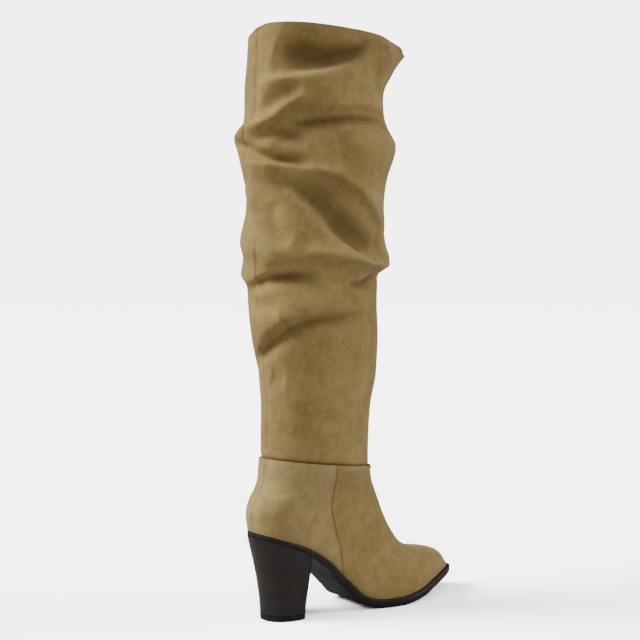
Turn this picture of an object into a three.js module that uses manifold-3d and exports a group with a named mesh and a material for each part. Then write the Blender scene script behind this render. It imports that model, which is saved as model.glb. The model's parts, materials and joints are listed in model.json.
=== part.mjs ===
// A knee-high slouch boot for the right foot: suede foot part and shaft, a stacked block heel
// under a thin dark sole, and a zip on the inner side of the ankle.
//
// Millimetres. The origin is the middle of the heel's ground face, +X points to the toe,
// +Y to the inner side of the foot and +Z up. The boot stands on the plane Z = 0.
import * as THREE from 'three';
import { mergeVertices } from 'three/addons/utils/BufferGeometryUtils.js';
import Module from 'manifold-3d';

const wasm = await Module();
wasm.setup();

// Driving dimensions
const footLength = 242; // back of the heel seat to the tip of the toe
const heelOverhang = 31; // heel seat's back, behind the origin
const ballWidth = 65; // width of the last across the ball
const heelHeight = 82; // floor to the back of the heel seat
const toeSpring = 15; // lift of the sole's tip off the floor
const vampHeight = 51; // ankle seam at the front, above the heel seat
const quarterHeight = 64; // ankle seam at the back, above the heel seat
const ankleLength = 109; // ankle, fore and aft
const ankleWidth = 75; // ankle, side to side
const shaftHeight = 390; // ankle seam at the back to the collar
const calfLength = 142; // top of the shaft, fore and aft
const calfWidth = 106; // top of the shaft, side to side

const footWall = 1.8; // suede and lining of the foot part
const shaftWall = 1.8; // suede and lining of the shaft
const vampStep = 0.8; // how far the vamp laps over the quarter at the side seam
const seamLap = 8; // length of shaft tucked inside the foot part
const backSeamWidth = 5.5;
const backSeamHeight = 0.6;
const soleThickness = 7.5;
const soleLedge = 3.0; // how far the sole stands out around the forefoot
const heelTipThickness = 5;
const insoleThickness = 3;
const clearance = 0.3; // gap where two pieces meet
const shaftInset = 0.5; // shaft's outer face, inside the foot part's inner face
const toeTip = 0.9585; // end of the last, a share of the foot's length
const seamCrown = 0.75; // flat share of the raised back seam

const foldDepth = 10; // unit for how deep the slouch folds are
const foldReach = 14; // unit for how wide they are

const zipAngle = 98; // degrees round the shaft from its front
const zipBottom = 18; // above the ankle seam
const zipLength = 134;
const zipSlotWidth = 7;
const zipTeethWidth = 4.6;
const zipTapeWidth = 24;
const zipTapeThickness = 0.8;
const zipToothPitch = 6;
const sliderWidth = 9;
const sliderLength = 11;
const sliderThickness = 2.4;
const pullLength = 24;
const pullWidth = 7;
const pullThickness = 1.4;
const barRadius = 0.9;
const eyeWall = 1.1; // metal round the pull's eye
const fingerRoom = 1.8; // between slider and bar

const facets = 32; // round the foot part and the shaft

const seatX = -heelOverhang;

// Sole line, from the heel seat's back to the toe. x is a share of the foot's length from the
// back, lift a share of the heel's height, spring a share of the toe spring, thick a share of
// the sole's thickness and ledge a share of its ledge.
const soleRows = [
  { x: -0.060, lift: 1.020, spring: 0.00, thick: 0.50, ledge: 0.05 },
  { x: 0.000, lift: 0.990, spring: 0.00, thick: 0.50, ledge: 0.05 },
  { x: 0.085, lift: 0.905, spring: 0.00, thick: 0.50, ledge: 0.05 },
  { x: 0.157, lift: 0.825, spring: 0.00, thick: 0.55, ledge: 0.05 },
  { x: 0.217, lift: 0.735, spring: 0.00, thick: 0.80, ledge: 0.08 },
  { x: 0.264, lift: 0.640, spring: 0.00, thick: 0.90, ledge: 0.12 },
  { x: 0.313, lift: 0.515, spring: 0.00, thick: 0.90, ledge: 0.20 },
  { x: 0.360, lift: 0.360, spring: 0.00, thick: 0.90, ledge: 0.30 },
  { x: 0.407, lift: 0.215, spring: 0.00, thick: 0.92, ledge: 0.45 },
  { x: 0.452, lift: 0.085, spring: 0.00, thick: 0.96, ledge: 0.65 },
  { x: 0.488, lift: 0.022, spring: 0.00, thick: 1.00, ledge: 0.80 },
  { x: 0.519, lift: 0.000, spring: 0.00, thick: 1.00, ledge: 0.90 },
  { x: 0.625, lift: 0.000, spring: 0.00, thick: 1.00, ledge: 1.00 },
  { x: 0.686, lift: 0.000, spring: 0.15, thick: 1.00, ledge: 1.00 },
  { x: 0.803, lift: 0.000, spring: 0.55, thick: 1.00, ledge: 1.00 },
  { x: 0.901, lift: 0.000, spring: 0.80, thick: 1.00, ledge: 1.00 },
  { x: 1.060, lift: 0.000, spring: 1.15, thick: 1.00, ledge: 1.00 },
];

// The last is cut in sections, from the toe over the instep and round the heel to the ankle.
// This table holds the top of each, on the vamp's ridge. x is a share of the foot's length from
// the back, lift a share of the heel's height and rise a share of the vamp's height.
const ridgeRows = [
  { x: 0.9490, lift: 0.00, rise: 0.500 },
  { x: 0.9280, lift: 0.00, rise: 0.637 },
  { x: 0.8930, lift: 0.00, rise: 0.745 },
  { x: 0.8180, lift: 0.02, rise: 0.811 },
  { x: 0.7400, lift: 0.06, rise: 0.815 },
  { x: 0.6800, lift: 0.16, rise: 0.811 },
  { x: 0.6340, lift: 0.34, rise: 0.806 },
  { x: 0.6050, lift: 0.50, rise: 0.814 },
  { x: 0.5910, lift: 0.60, rise: 0.810 },
  { x: 0.5820, lift: 0.68, rise: 0.798 },
  { x: 0.5720, lift: 0.76, rise: 0.788 },
  { x: 0.5630, lift: 0.83, rise: 0.783 },
  { x: 0.5550, lift: 0.89, rise: 0.795 },
  { x: 0.5475, lift: 0.93, rise: 0.820 },
  { x: 0.5410, lift: 0.96, rise: 0.860 },
  { x: 0.5360, lift: 0.98, rise: 0.915 },
  { x: 0.5300, lift: 1.00, rise: 0.970 },
  { x: 0.5240, lift: 1.00, rise: 1.060 },
];

// The same sections' bottoms and widths. Those of the foot end under the sole line, which trims
// them, and those of the heel at rise, a share of the quarter's height. outer and inner are half
// widths and shift moves the section to the inner side, shares of the ball's width. widest is
// where it is widest, from bottom to top. In top and bottom 2 is an ellipse and more is squarer.
const footRows = [
  { x: 0.9445, outer: 0.092, inner: 0.092, shift: 0.085, widest: 0.42, top: 2.00, bottom: 2.6 },
  { x: 0.9160, outer: 0.150, inner: 0.165, shift: 0.077, widest: 0.38, top: 2.00, bottom: 3.0 },
  { x: 0.8720, outer: 0.235, inner: 0.256, shift: 0.069, widest: 0.35, top: 2.00, bottom: 3.4 },
  { x: 0.8020, outer: 0.360, inner: 0.370, shift: 0.054, widest: 0.31, top: 1.95, bottom: 4.0 },
  { x: 0.7190, outer: 0.458, inner: 0.477, shift: 0.023, widest: 0.27, top: 1.90, bottom: 4.5 },
  { x: 0.6360, outer: 0.477, inner: 0.523, shift: 0.008, widest: 0.24, top: 1.85, bottom: 4.5 },
  { x: 0.5496, outer: 0.445, inner: 0.515, shift: 0.000, widest: 0.24, top: 1.80, bottom: 4.5 },
  { x: 0.4750, outer: 0.410, inner: 0.462, shift: 0.000, widest: 0.26, top: 1.80, bottom: 4.2 },
  { x: 0.4050, outer: 0.392, inner: 0.415, shift: 0.000, widest: 0.29, top: 1.80, bottom: 4.0 },
  { x: 0.3310, outer: 0.392, inner: 0.400, shift: 0.000, widest: 0.31, top: 1.80, bottom: 3.8 },
  { x: 0.2400, outer: 0.402, inner: 0.405, shift: 0.000, widest: 0.32, top: 1.80, bottom: 3.8 },
  { x: 0.1280, outer: 0.408, inner: 0.408, shift: 0.000, widest: 0.33, top: 1.85, bottom: 3.6 },
  { x: 0.0455, outer: 0.408, inner: 0.408, shift: 0.000, widest: 0.34, top: 1.85, bottom: 3.2 },
];
const heelRows = [
  { x: 0.0157, rise: 0.035, outer: 0.415, inner: 0.415, widest: 0.36, top: 1.90, bottom: 2.5 },
  { x: 0.0066, rise: 0.220, outer: 0.443, inner: 0.440, widest: 0.39, top: 1.95, bottom: 2.2 },
  { x: 0.0207, rise: 0.400, outer: 0.474, inner: 0.471, widest: 0.42, top: 2.00, bottom: 2.1 },
  { x: 0.0434, rise: 0.540, outer: 0.508, inner: 0.506, widest: 0.45, top: 2.00, bottom: 2.0 },
  { x: 0.0603, rise: 0.720, outer: 0.545, inner: 0.543, widest: 0.48, top: 2.00, bottom: 2.0 },
];

// Sections of the shaft, from just above the ankle seam to the collar. height is a share of
// the shaft's height, tilt how much of the seam's slope the section keeps. front and back are
// shares of the ankle's or calf's length and width of its width, and calf says how much of
// the calf's sizes the section takes.
const shaftRows = [
  { height: 0.000, tilt: 1.00, front: 0.885, back: 0.140, width: 0.500, calf: 0 },
  { height: 0.030, tilt: 0.80, front: 0.882, back: 0.140, width: 0.504, calf: 0 },
  { height: 0.068, tilt: 0.40, front: 0.888, back: 0.138, width: 0.510, calf: 0 },
  { height: 0.118, tilt: 0.10, front: 0.905, back: 0.136, width: 0.520, calf: 0 },
  { height: 0.195, tilt: 0.00, front: 0.742, back: 0.124, width: 0.388, calf: 1 },
  { height: 0.282, tilt: 0.00, front: 0.752, back: 0.172, width: 0.415, calf: 1 },
  { height: 0.370, tilt: 0.00, front: 0.738, back: 0.196, width: 0.440, calf: 1 },
  { height: 0.472, tilt: 0.00, front: 0.745, back: 0.203, width: 0.470, calf: 1 },
  { height: 0.600, tilt: 0.00, front: 0.785, back: 0.192, width: 0.490, calf: 1 },
  { height: 0.728, tilt: 0.00, front: 0.796, back: 0.214, width: 0.508, calf: 1 },
  { height: 0.856, tilt: 0.00, front: 0.778, back: 0.212, width: 0.500, calf: 1 },
  { height: 0.935, tilt: 0.00, front: 0.862, back: 0.196, width: 0.508, calf: 1 },
  { height: 1.000, tilt: 0.00, front: 0.965, back: 0.188, width: 0.520, calf: 1 },
];

// Collar's edge, by degrees round the shaft: rise is a share of the fold reach.
const rimRows = [
  { angle: 0, rise: -0.75 },
  { angle: 45, rise: -0.30 },
  { angle: 100, rise: -0.05 },
  { angle: 150, rise: -0.25 },
  { angle: 166, rise: -0.52 },
  { angle: 181, rise: -0.58 },
  { angle: 199, rise: -0.06 },
  { angle: 212, rise: -0.05 },
  { angle: 260, rise: -0.28 },
  { angle: 285, rise: -0.40 },
  { angle: 305, rise: -0.82 },
  { angle: 322, rise: -1.08 },
  { angle: 340, rise: -0.92 },
  { angle: 360, rise: -0.75 },
];

// Slouch folds of the shaft. Each runs through three places, given as degrees round the shaft
// from its front and as a height, a share of the shaft's height above the ankle seam. depth is
// a share of the fold depth, raised where above nought and sunk below it. above and below are
// widths to each side, shares of the fold reach, and droop lets a raised fold hang over.
const folds = [
  // outer side, from the collar down
  { a: [206, 0.940], b: [250, 0.916], c: [294, 0.952], depth: -1.05, above: 1.30, below: 1.00, droop: 0 },
  { a: [190, 0.858], b: [250, 0.884], c: [300, 0.985], depth: 0.60, above: 0.80, below: 1.20, droop: 0 },
  { a: [300, 0.860], b: [304, 0.930], c: [308, 1.020], depth: 0.45, above: 0.80, below: 0.80, droop: 0 },
  { a: [200, 0.782], b: [216, 0.822], c: [236, 0.852], depth: -0.55, above: 0.75, below: 0.65, droop: 0 },
  { a: [150, 0.738], b: [190, 0.772], c: [238, 0.842], depth: 0.75, above: 0.65, below: 0.90, droop: 0 },
  { a: [212, 0.744], b: [262, 0.778], c: [338, 0.768], depth: -0.80, above: 0.85, below: 0.80, droop: 0 },
  { a: [110, 0.745], b: [162, 0.735], c: [214, 0.725], depth: 0.62, above: 0.70, below: 2.70, droop: 0 },
  { a: [176, 0.676], b: [225, 0.670], c: [272, 0.652], depth: 0.30, above: 0.60, below: 0.90, droop: 0 },
  { a: [200, 0.668], b: [252, 0.590], c: [330, 0.506], depth: -1.00, above: 1.25, below: 1.00, droop: 0 },
  { a: [262, 0.720], b: [318, 0.748], c: [372, 0.758], depth: 1.05, above: 1.00, below: 2.00, droop: 0.2 },
  { a: [236, 0.500], b: [306, 0.456], c: [366, 0.450], depth: 0.95, above: 1.40, below: 0.40, droop: 0 },
  { a: [200, 0.416], b: [258, 0.410], c: [330, 0.426], depth: -0.55, above: 0.60, below: 0.90, droop: 0 },
  { a: [172, 0.640], b: [184, 0.552], c: [222, 0.462], depth: 0.50, above: 0.80, below: 0.80, droop: 0 },
  { a: [128, 0.520], b: [180, 0.494], c: [232, 0.466], depth: 0.60, above: 1.50, below: 0.90, droop: 0.1 },
  { a: [160, 0.362], b: [186, 0.358], c: [214, 0.346], depth: -0.35, above: 0.60, below: 0.60, droop: 0 },
  { a: [170, 0.236], b: [224, 0.302], c: [296, 0.334], depth: -0.42, above: 0.60, below: 0.75, droop: 0 },
  // inner side and front, from the collar down
  { a: [30, 0.905], b: [80, 0.930], c: [130, 0.880], depth: -0.50, above: 1.40, below: 1.20, droop: 0 },
  { a: [10, 0.850], b: [80, 0.822], c: [150, 0.835], depth: -0.55, above: 0.90, below: 0.80, droop: 0 },
  { a: [24, 0.690], b: [90, 0.735], c: [156, 0.762], depth: 0.75, above: 1.00, below: 1.10, droop: 0.2 },
  { a: [40, 0.600], b: [104, 0.645], c: [162, 0.660], depth: -0.75, above: 1.00, below: 0.90, droop: 0 },
  { a: [20, 0.575], b: [80, 0.548], c: [130, 0.580], depth: -0.45, above: 0.80, below: 0.70, droop: 0 },
  { a: [0, 0.452], b: [78, 0.448], c: [176, 0.416], depth: 0.80, above: 1.10, below: 0.50, droop: 0 },
  { a: [50, 0.300], b: [104, 0.262], c: [164, 0.190], depth: -0.30, above: 0.70, below: 0.60, droop: 0 },
];

// Heel block from its ground face up. height is a share of the heel's height, back and breast
// are shares of the foot's length before and behind the origin, width of the ball's width.
const heelBlockRows = [
  { height: 0.00, back: 0.0675, breast: 0.0725, width: 0.306 },
  { height: 0.14, back: 0.0690, breast: 0.0745, width: 0.320 },
  { height: 0.40, back: 0.0793, breast: 0.0823, width: 0.362 },
  { height: 0.64, back: 0.0960, breast: 0.0891, width: 0.402 },
  { height: 0.80, back: 0.1097, breast: 0.0920, width: 0.425 },
  { height: 1.00, back: 0.1250, breast: 0.0930, width: 0.443 },
  { height: 1.12, back: 0.1310, breast: 0.0930, width: 0.447 },
];

// Side seam between quarter and vamp, from the sole up. x and height as on the sole line.
const sideSeamRows = [
  { x: 0.368, height: 0.20 },
  { x: 0.354, height: 0.46 },
  { x: 0.333, height: 0.78 },
  { x: 0.315, height: 0.92 },
  { x: 0.296, height: 1.20 },
  { x: 0.282, height: 1.90 },
];

// Back seam's wander round the shaft, in degrees from its back, by share of shaft height.
const backSeamRows = [
  { height: -0.04, turn: 0 },
  { height: 0.16, turn: 0 },
  { height: 0.28, turn: -4 },
  { height: 0.40, turn: 2 },
  { height: 0.46, turn: 7 },
  { height: 0.50, turn: 13 },
  { height: 0.54, turn: 4 },
  { height: 0.62, turn: 0 },
  { height: 0.80, turn: 6 },
  { height: 1.00, turn: 3 },
];

// One column of a table at a place between its rows, on a smooth curve that never overshoots
function along(rows, key, name, at) {
  const last = rows.length - 1;
  let i = 0;
  while (i < last - 1 && at > rows[i + 1][key]) i += 1;
  const grade = (k) => (rows[k + 1][name] - rows[k][name]) / (rows[k + 1][key] - rows[k][key]);
  const slope = (k) => {
    if (k === 0) return grade(0);
    if (k === last) return grade(last - 1);
    const before = grade(k - 1);
    const after = grade(k);
    return before * after > 0 ? (2 * before * after) / (before + after) : 0;
  };
  const span = rows[i + 1][key] - rows[i][key];
  const t = Math.min(1, Math.max(0, (at - rows[i][key]) / span));
  const start = rows[i][name] * (2 * t ** 3 - 3 * t ** 2 + 1);
  const end = rows[i + 1][name] * (3 * t ** 2 - 2 * t ** 3);
  const leave = slope(i) * span * (t ** 3 - 2 * t ** 2 + t);
  const arrive = slope(i + 1) * span * (t ** 3 - t ** 2);
  return start + end + leave + arrive;
}

const placeX = (share) => seatX + share * footLength;
const shareX = (x) => (x - seatX) / footLength;

// Top face of the sole at x
function soleTop(x) {
  const share = shareX(x);
  const lift = along(soleRows, 'x', 'lift', share) * (heelHeight - soleThickness);
  return soleThickness + lift + along(soleRows, 'x', 'spring', share) * toeSpring;
}

// Underside of the sole at x, square to its slope
function soleUnder(x) {
  const slope = soleTop(x + 0.5) - soleTop(x - 0.5);
  const thick = along(soleRows, 'x', 'thick', shareX(x)) * soleThickness;
  return soleTop(x) - thick * Math.hypot(1, slope);
}

const seamBack = heelHeight + quarterHeight;
const seamFront = heelHeight + vampHeight;
const seamSlope = (seamBack - seamFront) / ankleLength;
const seamHeightAt = (x) => seamBack - (x - placeX(0.0636)) * seamSlope;
const soleTuck = 7; // how far the last's sections reach under the sole line

// Every section as the two ends of its middle line and its half widths
const sections = [...footRows, ...heelRows].map((row, index) => {
  const ridge = ridgeRows[index];
  const backX = placeX(row.x);
  return {
    frontX: placeX(ridge.x),
    frontZ: ridge.lift * heelHeight + ridge.rise * vampHeight,
    backX,
    backZ: 'rise' in row ? heelHeight + row.rise * quarterHeight : soleTop(backX) - soleTuck,
    outer: row.outer * ballWidth,
    inner: row.inner * ballWidth,
    shift: (row.shift ?? 0) * ballWidth,
    widest: row.widest,
    roundTop: row.top,
    roundBottom: row.bottom,
  };
});
const ankleSection = sections.length;
for (const row of shaftRows) {
  const length = row.calf ? calfLength : ankleLength;
  const width = row.calf ? calfWidth : ankleWidth;
  const height = seamBack + row.height * shaftHeight;
  sections.push({
    frontX: row.front * length,
    frontZ: height - row.tilt * (seamBack - seamFront),
    backX: -row.back * length,
    backZ: height,
    outer: row.width * width,
    inner: row.width * width,
    shift: 0,
    widest: 0.5,
    roundTop: 2,
    roundBottom: 2,
  });
}
sections.forEach((section, index) => {
  section.place = index;
});
const collarSection = sections.length - 1;

const sectionCache = new Map();
function sectionAt(place) {
  if (!sectionCache.has(place)) {
    const section = {};
    for (const name of Object.keys(sections[0])) {
      section[name] = along(sections, 'place', name, place);
    }
    sectionCache.set(place, section);
  }
  return sectionCache.get(place);
}

// Folds as chains of short steps in millimetres round and up the shaft
const foldRadius = (calfLength + calfWidth) / 4;
const foldSteps = 10;
const foldChains = folds.map((fold) => {
  const chain = [];
  for (let i = 0; i <= foldSteps; i += 1) {
    const t = i / foldSteps;
    const weights = [(1 - t) * (1 - 2 * t), 4 * t * (1 - t), t * (2 * t - 1)];
    const turn = weights[0] * fold.a[0] + weights[1] * fold.b[0] + weights[2] * fold.c[0];
    const share = weights[0] * fold.a[1] + weights[1] * fold.b[1] + weights[2] * fold.c[1];
    chain.push([THREE.MathUtils.degToRad(turn) * foldRadius, seamBack + share * shaftHeight]);
  }
  return chain;
});

// How far one fold raises the shaft at a place given in millimetres round and up
function foldAt(fold, chain, round, height) {
  let best = Infinity;
  let where = 0;
  let side = 1;
  for (let i = 0; i < foldSteps; i += 1) {
    const [ax, ay] = chain[i];
    const dx = chain[i + 1][0] - ax;
    const dy = chain[i + 1][1] - ay;
    const reach = ((round - ax) * dx + (height - ay) * dy) / (dx * dx + dy * dy);
    const t = Math.min(1, Math.max(0, reach));
    const px = round - ax - t * dx;
    const py = height - ay - t * dy;
    const distance = Math.hypot(px, py);
    if (distance < best) {
      best = distance;
      where = (i + t) / foldSteps;
      side = dx * py - dy * px;
    }
  }
  const width = (side > 0 ? fold.above : fold.below) * foldReach;
  const taper = 1 - (2 * where - 1) ** 4;
  return fold.depth * foldDepth * taper * Math.exp(-((best / width) ** 2));
}

// Height and drop of the shaft's surface by its folds
function foldLift(angle, height) {
  const turn = ((angle % (2 * Math.PI)) + 2 * Math.PI) % (2 * Math.PI);
  const circle = 2 * Math.PI * foldRadius;
  let lift = 0;
  let drop = 0;
  folds.forEach((fold, index) => {
    for (const lap of [-1, 0, 1]) {
      const amount = foldAt(fold, foldChains[index], turn * foldRadius + lap * circle, height);
      lift += amount;
      drop += Math.max(0, amount) * fold.droop;
    }
  });
  return [lift, drop];
}

// A point of the last and of the shaft's form over it. angle turns from the top or front over
// the inner side to the bottom or back.
function formPoint(place, angle) {
  const section = sectionAt(place);
  const c = Math.cos(angle);
  const s = Math.sin(angle);
  const power = 2 / (c >= 0 ? section.roundTop : section.roundBottom);
  const reach = c >= 0 ? 1 - section.widest : section.widest;
  const share = section.widest + Math.sign(c) * reach * Math.abs(c) ** power;
  const half = s > 0 ? section.inner : section.outer;
  const point = new THREE.Vector3(
    section.backX + (section.frontX - section.backX) * share,
    section.shift + Math.sign(s) * half * Math.abs(s) ** power,
    section.backZ + (section.frontZ - section.backZ) * share,
  );
  if (place > ankleSection) {
    const length = (section.frontX - section.backX) / 2;
    const out = new THREE.Vector2(c * half, s * length).normalize();
    const [lift, drop] = foldLift(angle, point.z);
    const turn = THREE.MathUtils.radToDeg(((angle % (2 * Math.PI)) + 2 * Math.PI) % (2 * Math.PI));
    const near = Math.max(0, 1 - (collarSection - place) / 3);
    const rim = along(rimRows, 'angle', 'rise', turn) * foldReach * near * near;
    point.set(point.x + lift * out.x, point.y + lift * out.y, point.z - drop * (1 - near) + rim);
  }
  return point;
}

// A point at a depth under the form, or over it where the depth is negative
function skinPoint(place, angle, depth) {
  const point = formPoint(place, angle);
  const upper = Math.min(place + 0.05, collarSection);
  const lower = Math.max(place - 0.05, 0);
  const up = formPoint(upper, angle).sub(formPoint(lower, angle));
  const round = formPoint(place, angle + 0.03).sub(formPoint(place, angle - 0.03));
  return point.sub(round.cross(up).normalize().multiplyScalar(depth));
}

// Length along the form for one radian of turn
function millimetresPerTurn(place, angle) {
  return formPoint(place, angle + 0.02).distanceTo(formPoint(place, angle - 0.02)) / 0.04;
}

function backSeamAngle(place) {
  const share = (sectionAt(place).backZ - seamBack) / shaftHeight;
  return Math.PI + THREE.MathUtils.degToRad(along(backSeamRows, 'height', 'turn', share));
}

function solidOf(geometry) {
  geometry.deleteAttribute('normal');
  geometry.deleteAttribute('uv');
  const merged = mergeVertices(geometry, 1e-5);
  return new wasm.Manifold(new wasm.Mesh({
    numProp: 3,
    vertProperties: new Float32Array(merged.attributes.position.array),
    triVerts: new Uint32Array(merged.index.array),
  }));
}

function indexedGeometry(points, triangles) {
  const geometry = new THREE.BufferGeometry();
  const numbers = points.flatMap((point) => [point.x, point.y, point.z]);
  geometry.setAttribute('position', new THREE.Float32BufferAttribute(numbers, 3));
  geometry.setIndex(triangles.flat());
  return geometry;
}

function meanPoint(points) {
  const sum = points.reduce((total, point) => total.add(point), new THREE.Vector3());
  return sum.divideScalar(points.length);
}

// Closed tube through rings of points, each end closed to a point of its own
function ringSolid(rings, first, last) {
  const sides = rings[0].length;
  const points = [...rings.flat(), first, last];
  const triangles = [];
  for (let i = 0; i < sides; i += 1) {
    const next = (i + 1) % sides;
    for (let row = 0; row < rings.length - 1; row += 1) {
      const a = row * sides + i;
      const b = row * sides + next;
      triangles.push([a, b, b + sides], [a, b + sides, a + sides]);
    }
    const top = (rings.length - 1) * sides;
    triangles.push([next, i, points.length - 2], [top + i, top + next, points.length - 1]);
  }
  return solidOf(indexedGeometry(points, triangles));
}

// Form of the boot between two places at a depth, closed at both ends. raisedAt gives how far
// the flat strip along the back seam stands out at a place.
function formSolid(places, depth, headroom = 0, raisedAt = null) {
  const rings = places.map((place) => {
    const middle = backSeamAngle(place);
    const half = backSeamWidth / 2 / millimetresPerTurn(place, middle);
    const ring = stations(middle + half, middle + 2 * Math.PI - half, facets)
      .map((angle) => skinPoint(place, angle, depth));
    if (raisedAt) {
      const edges = [-1, 1].map((side) => middle + side * seamCrown * half);
      ring.push(...edges.map((angle) => skinPoint(place, angle, depth - raisedAt(place))));
    }
    return ring;
  });
  if (headroom > 0) {
    rings.push(rings.at(-1).map((point) => point.clone().setZ(point.z + headroom)));
  }
  const first = meanPoint(rings[0]);
  if (places[0] === 0) first.x = placeX(toeTip) - depth;
  return ringSolid(rings, first, meanPoint(rings.at(-1)));
}

// Strip along the skin between two depths. offsets are the millimetres to each side of its
// middle line, at an angle, and the outer depth may change from ring to ring.
function skinStrip(places, offsets, angle, outerDepthAt, innerDepth) {
  const rings = places.map((place, index) => {
    const step = millimetresPerTurn(place, angle);
    const angles = offsets.map((offset) => angle + offset / step);
    const near = angles.map((turn) => skinPoint(place, turn, outerDepthAt(index)));
    const far = angles.map((turn) => skinPoint(place, turn, innerDepth));
    return [...near, ...far.reverse()];
  });
  return ringSolid(rings, meanPoint(rings[0]), meanPoint(rings.at(-1)));
}

const blockWidth = 3 * ballWidth;
const blockHeight = 2 * (heelHeight + quarterHeight + shaftHeight);

// Block with its outline drawn in the side view, running across the whole boot
function sideBlock(outline) {
  const shape = new THREE.Shape(outline.map(([x, z]) => new THREE.Vector2(x, z)));
  const geometry = new THREE.ExtrudeGeometry(shape, { depth: blockWidth, bevelEnabled: false });
  return solidOf(geometry.rotateX(Math.PI / 2).translate(0, blockWidth / 2, 0));
}

// Block with its outline drawn from above
function planBlock(outline) {
  const shape = new THREE.Shape(outline.map(([x, y]) => new THREE.Vector2(x, y)));
  const geometry = new THREE.ExtrudeGeometry(shape, { depth: blockHeight, bevelEnabled: false });
  return solidOf(geometry.translate(0, 0, -blockHeight / 2));
}

function stations(from, to, count) {
  return Array.from({ length: count + 1 }, (_, i) => from + ((to - from) * i) / count);
}
const soleStations = [
  ...stations(-0.06, 0.29, 9),
  ...stations(0.32, 0.519, 9),
  ...stations(0.625, 1.06, 9),
].map(placeX);
const soleTopLine = soleStations.map((x) => [x, soleTop(x)]);
const soleUnderLine = soleStations.map((x) => [x, soleUnder(x)]);
const raised = (line, amount) => line.map(([x, z]) => [x, z + amount]);
const fromLine = (line, z) => sideBlock([...line, [line.at(-1)[0], z], [line[0][0], z]]);
const overLine = (line) => fromLine(line, blockHeight);
const underLine = (line) => fromLine(line, -blockHeight);

// Where the form at a depth crosses the sole's top face, from the toe round the heel and back
function featherLine(depth) {
  const level = (point) => point.z - soleTop(point.x) - clearance;
  const sides = [[], []];
  const stepsRound = 90;
  for (const place of stations(0, ankleSection, 5 * ankleSection)) {
    for (const side of [0, 1]) {
      const turn = (i) => (side ? -1 : 1) * (Math.PI * i) / stepsRound;
      let before = skinPoint(place, turn(Math.round(stepsRound / 3)), depth);
      for (let i = Math.round(stepsRound / 3) + 1; i <= stepsRound; i += 1) {
        const after = skinPoint(place, turn(i), depth);
        if (level(before) > 0 && level(after) <= 0) {
          const t = level(before) / (level(before) - level(after));
          sides[side].push([before.x + (after.x - before.x) * t, before.y + (after.y - before.y) * t]);
          break;
        }
        before = after;
      }
    }
  }
  return [...sides[0].reverse(), ...sides[1]];
}

// Outline moved outwards by a distance that may change along it, with even steps
function offsetOutline(outline, distanceAt, steps) {
  const curve = new THREE.CatmullRomCurve3(outline.map(([x, y]) => new THREE.Vector3(x, y, 0)), true);
  const smooth = curve.getSpacedPoints(steps).slice(0, -1);
  return smooth.map((point, i) => {
    const before = smooth[(i + steps - 1) % steps];
    const after = smooth[(i + 1) % steps];
    const ahead = new THREE.Vector2(after.x - before.x, after.y - before.y).normalize();
    const distance = distanceAt(point.x);
    return [point.x - ahead.y * distance, point.y + ahead.x * distance];
  });
}

const featherPoints = featherLine(-footWall).map(([x, y]) => new THREE.Vector2(x, y));
const outward = THREE.ShapeUtils.area(featherPoints) > 0 ? -1 : 1;

const ledgeAt = (x) => outward * (clearance + along(soleRows, 'x', 'ledge', shareX(x)) * soleLedge);
const soleOutline = offsetOutline(featherLine(-footWall - vampStep), ledgeAt, 72);
const outsoleSolid = planBlock(soleOutline)
  .intersect(sideBlock([...soleTopLine, ...soleUnderLine.reverse()]));

// Heel block's outline from above at one height
function heelOutline(height) {
  const back = -along(heelBlockRows, 'height', 'back', height) * footLength;
  const breast = along(heelBlockRows, 'height', 'breast', height) * footLength;
  const half = along(heelBlockRows, 'height', 'width', height) * ballWidth;
  const middle = breast - 0.4 * half;
  const outline = [[breast, 0], [breast, 0.84 * half], [breast - 0.06 * half, 0.93 * half]];
  for (const turn of stations(90, 270, 18)) {
    const c = Math.cos(THREE.MathUtils.degToRad(turn));
    const s = Math.sin(THREE.MathUtils.degToRad(turn));
    const x = middle - Math.abs(c) ** 0.9 * (middle - back);
    outline.push([x, Math.sign(s) * Math.abs(s) ** 0.9 * half]);
  }
  outline.push([breast - 0.06 * half, -0.93 * half], [breast, -0.84 * half]);
  return outline;
}

function heelSolid(fromZ, toZ, count) {
  const rings = stations(fromZ, toZ, count).map((z) => heelOutline(z / heelHeight)
    .map(([x, y]) => new THREE.Vector3(x, y, z)));
  const middleX = placeX(0.13);
  return ringSolid(rings, new THREE.Vector3(middleX, 0, fromZ), new THREE.Vector3(middleX, 0, toZ));
}

const heelTopLine = raised(soleStations.map((x) => [x, soleUnder(x)]), -clearance);
const heelBlockSolid = heelSolid(heelTipThickness + clearance, 1.1 * heelHeight, 7)
  .intersect(underLine(heelTopLine));
const heelTipSolid = heelSolid(0, heelTipThickness, 1);

// Foot part: vamp and quarter are cut from two forms, the vamp's standing over the quarter's
const seamLine = (drop) => [placeX(-0.3), placeX(1)].map((x) => [x, seamHeightAt(x) - drop]);
const footPlaces = [
  ...stations(0, ankleSection - 4, 14),
  ...stations(ankleSection - 3, ankleSection + 1, 4),
];
const quarterForm = formSolid(footPlaces, -footWall, 0, () => backSeamHeight);
const vampForm = formSolid(footPlaces, -footWall - vampStep);
const footHollow = formSolid(footPlaces, 0, seamLap);
const insoleUnder = raised(soleTopLine, clearance);
const insoleBand = [...insoleUnder, ...raised(soleTopLine, insoleThickness).reverse()];
const insoleSolid = formSolid(footPlaces, clearance).intersect(sideBlock(insoleBand));
const sideSeamLine = sideSeamRows.map((row) => [placeX(row.x), row.height * heelHeight]);
const vampRegion = sideBlock([
  ...sideSeamLine,
  [placeX(1.2), blockHeight],
  [placeX(1.2), -heelHeight],
  [sideSeamLine[0][0], -heelHeight],
]);
const upperSolid = vampForm.intersect(vampRegion)
  .add(quarterForm)
  .subtract(footHollow)
  .intersect(overLine(raised(soleTopLine, clearance)))
  .intersect(underLine(seamLine(0)));

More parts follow.
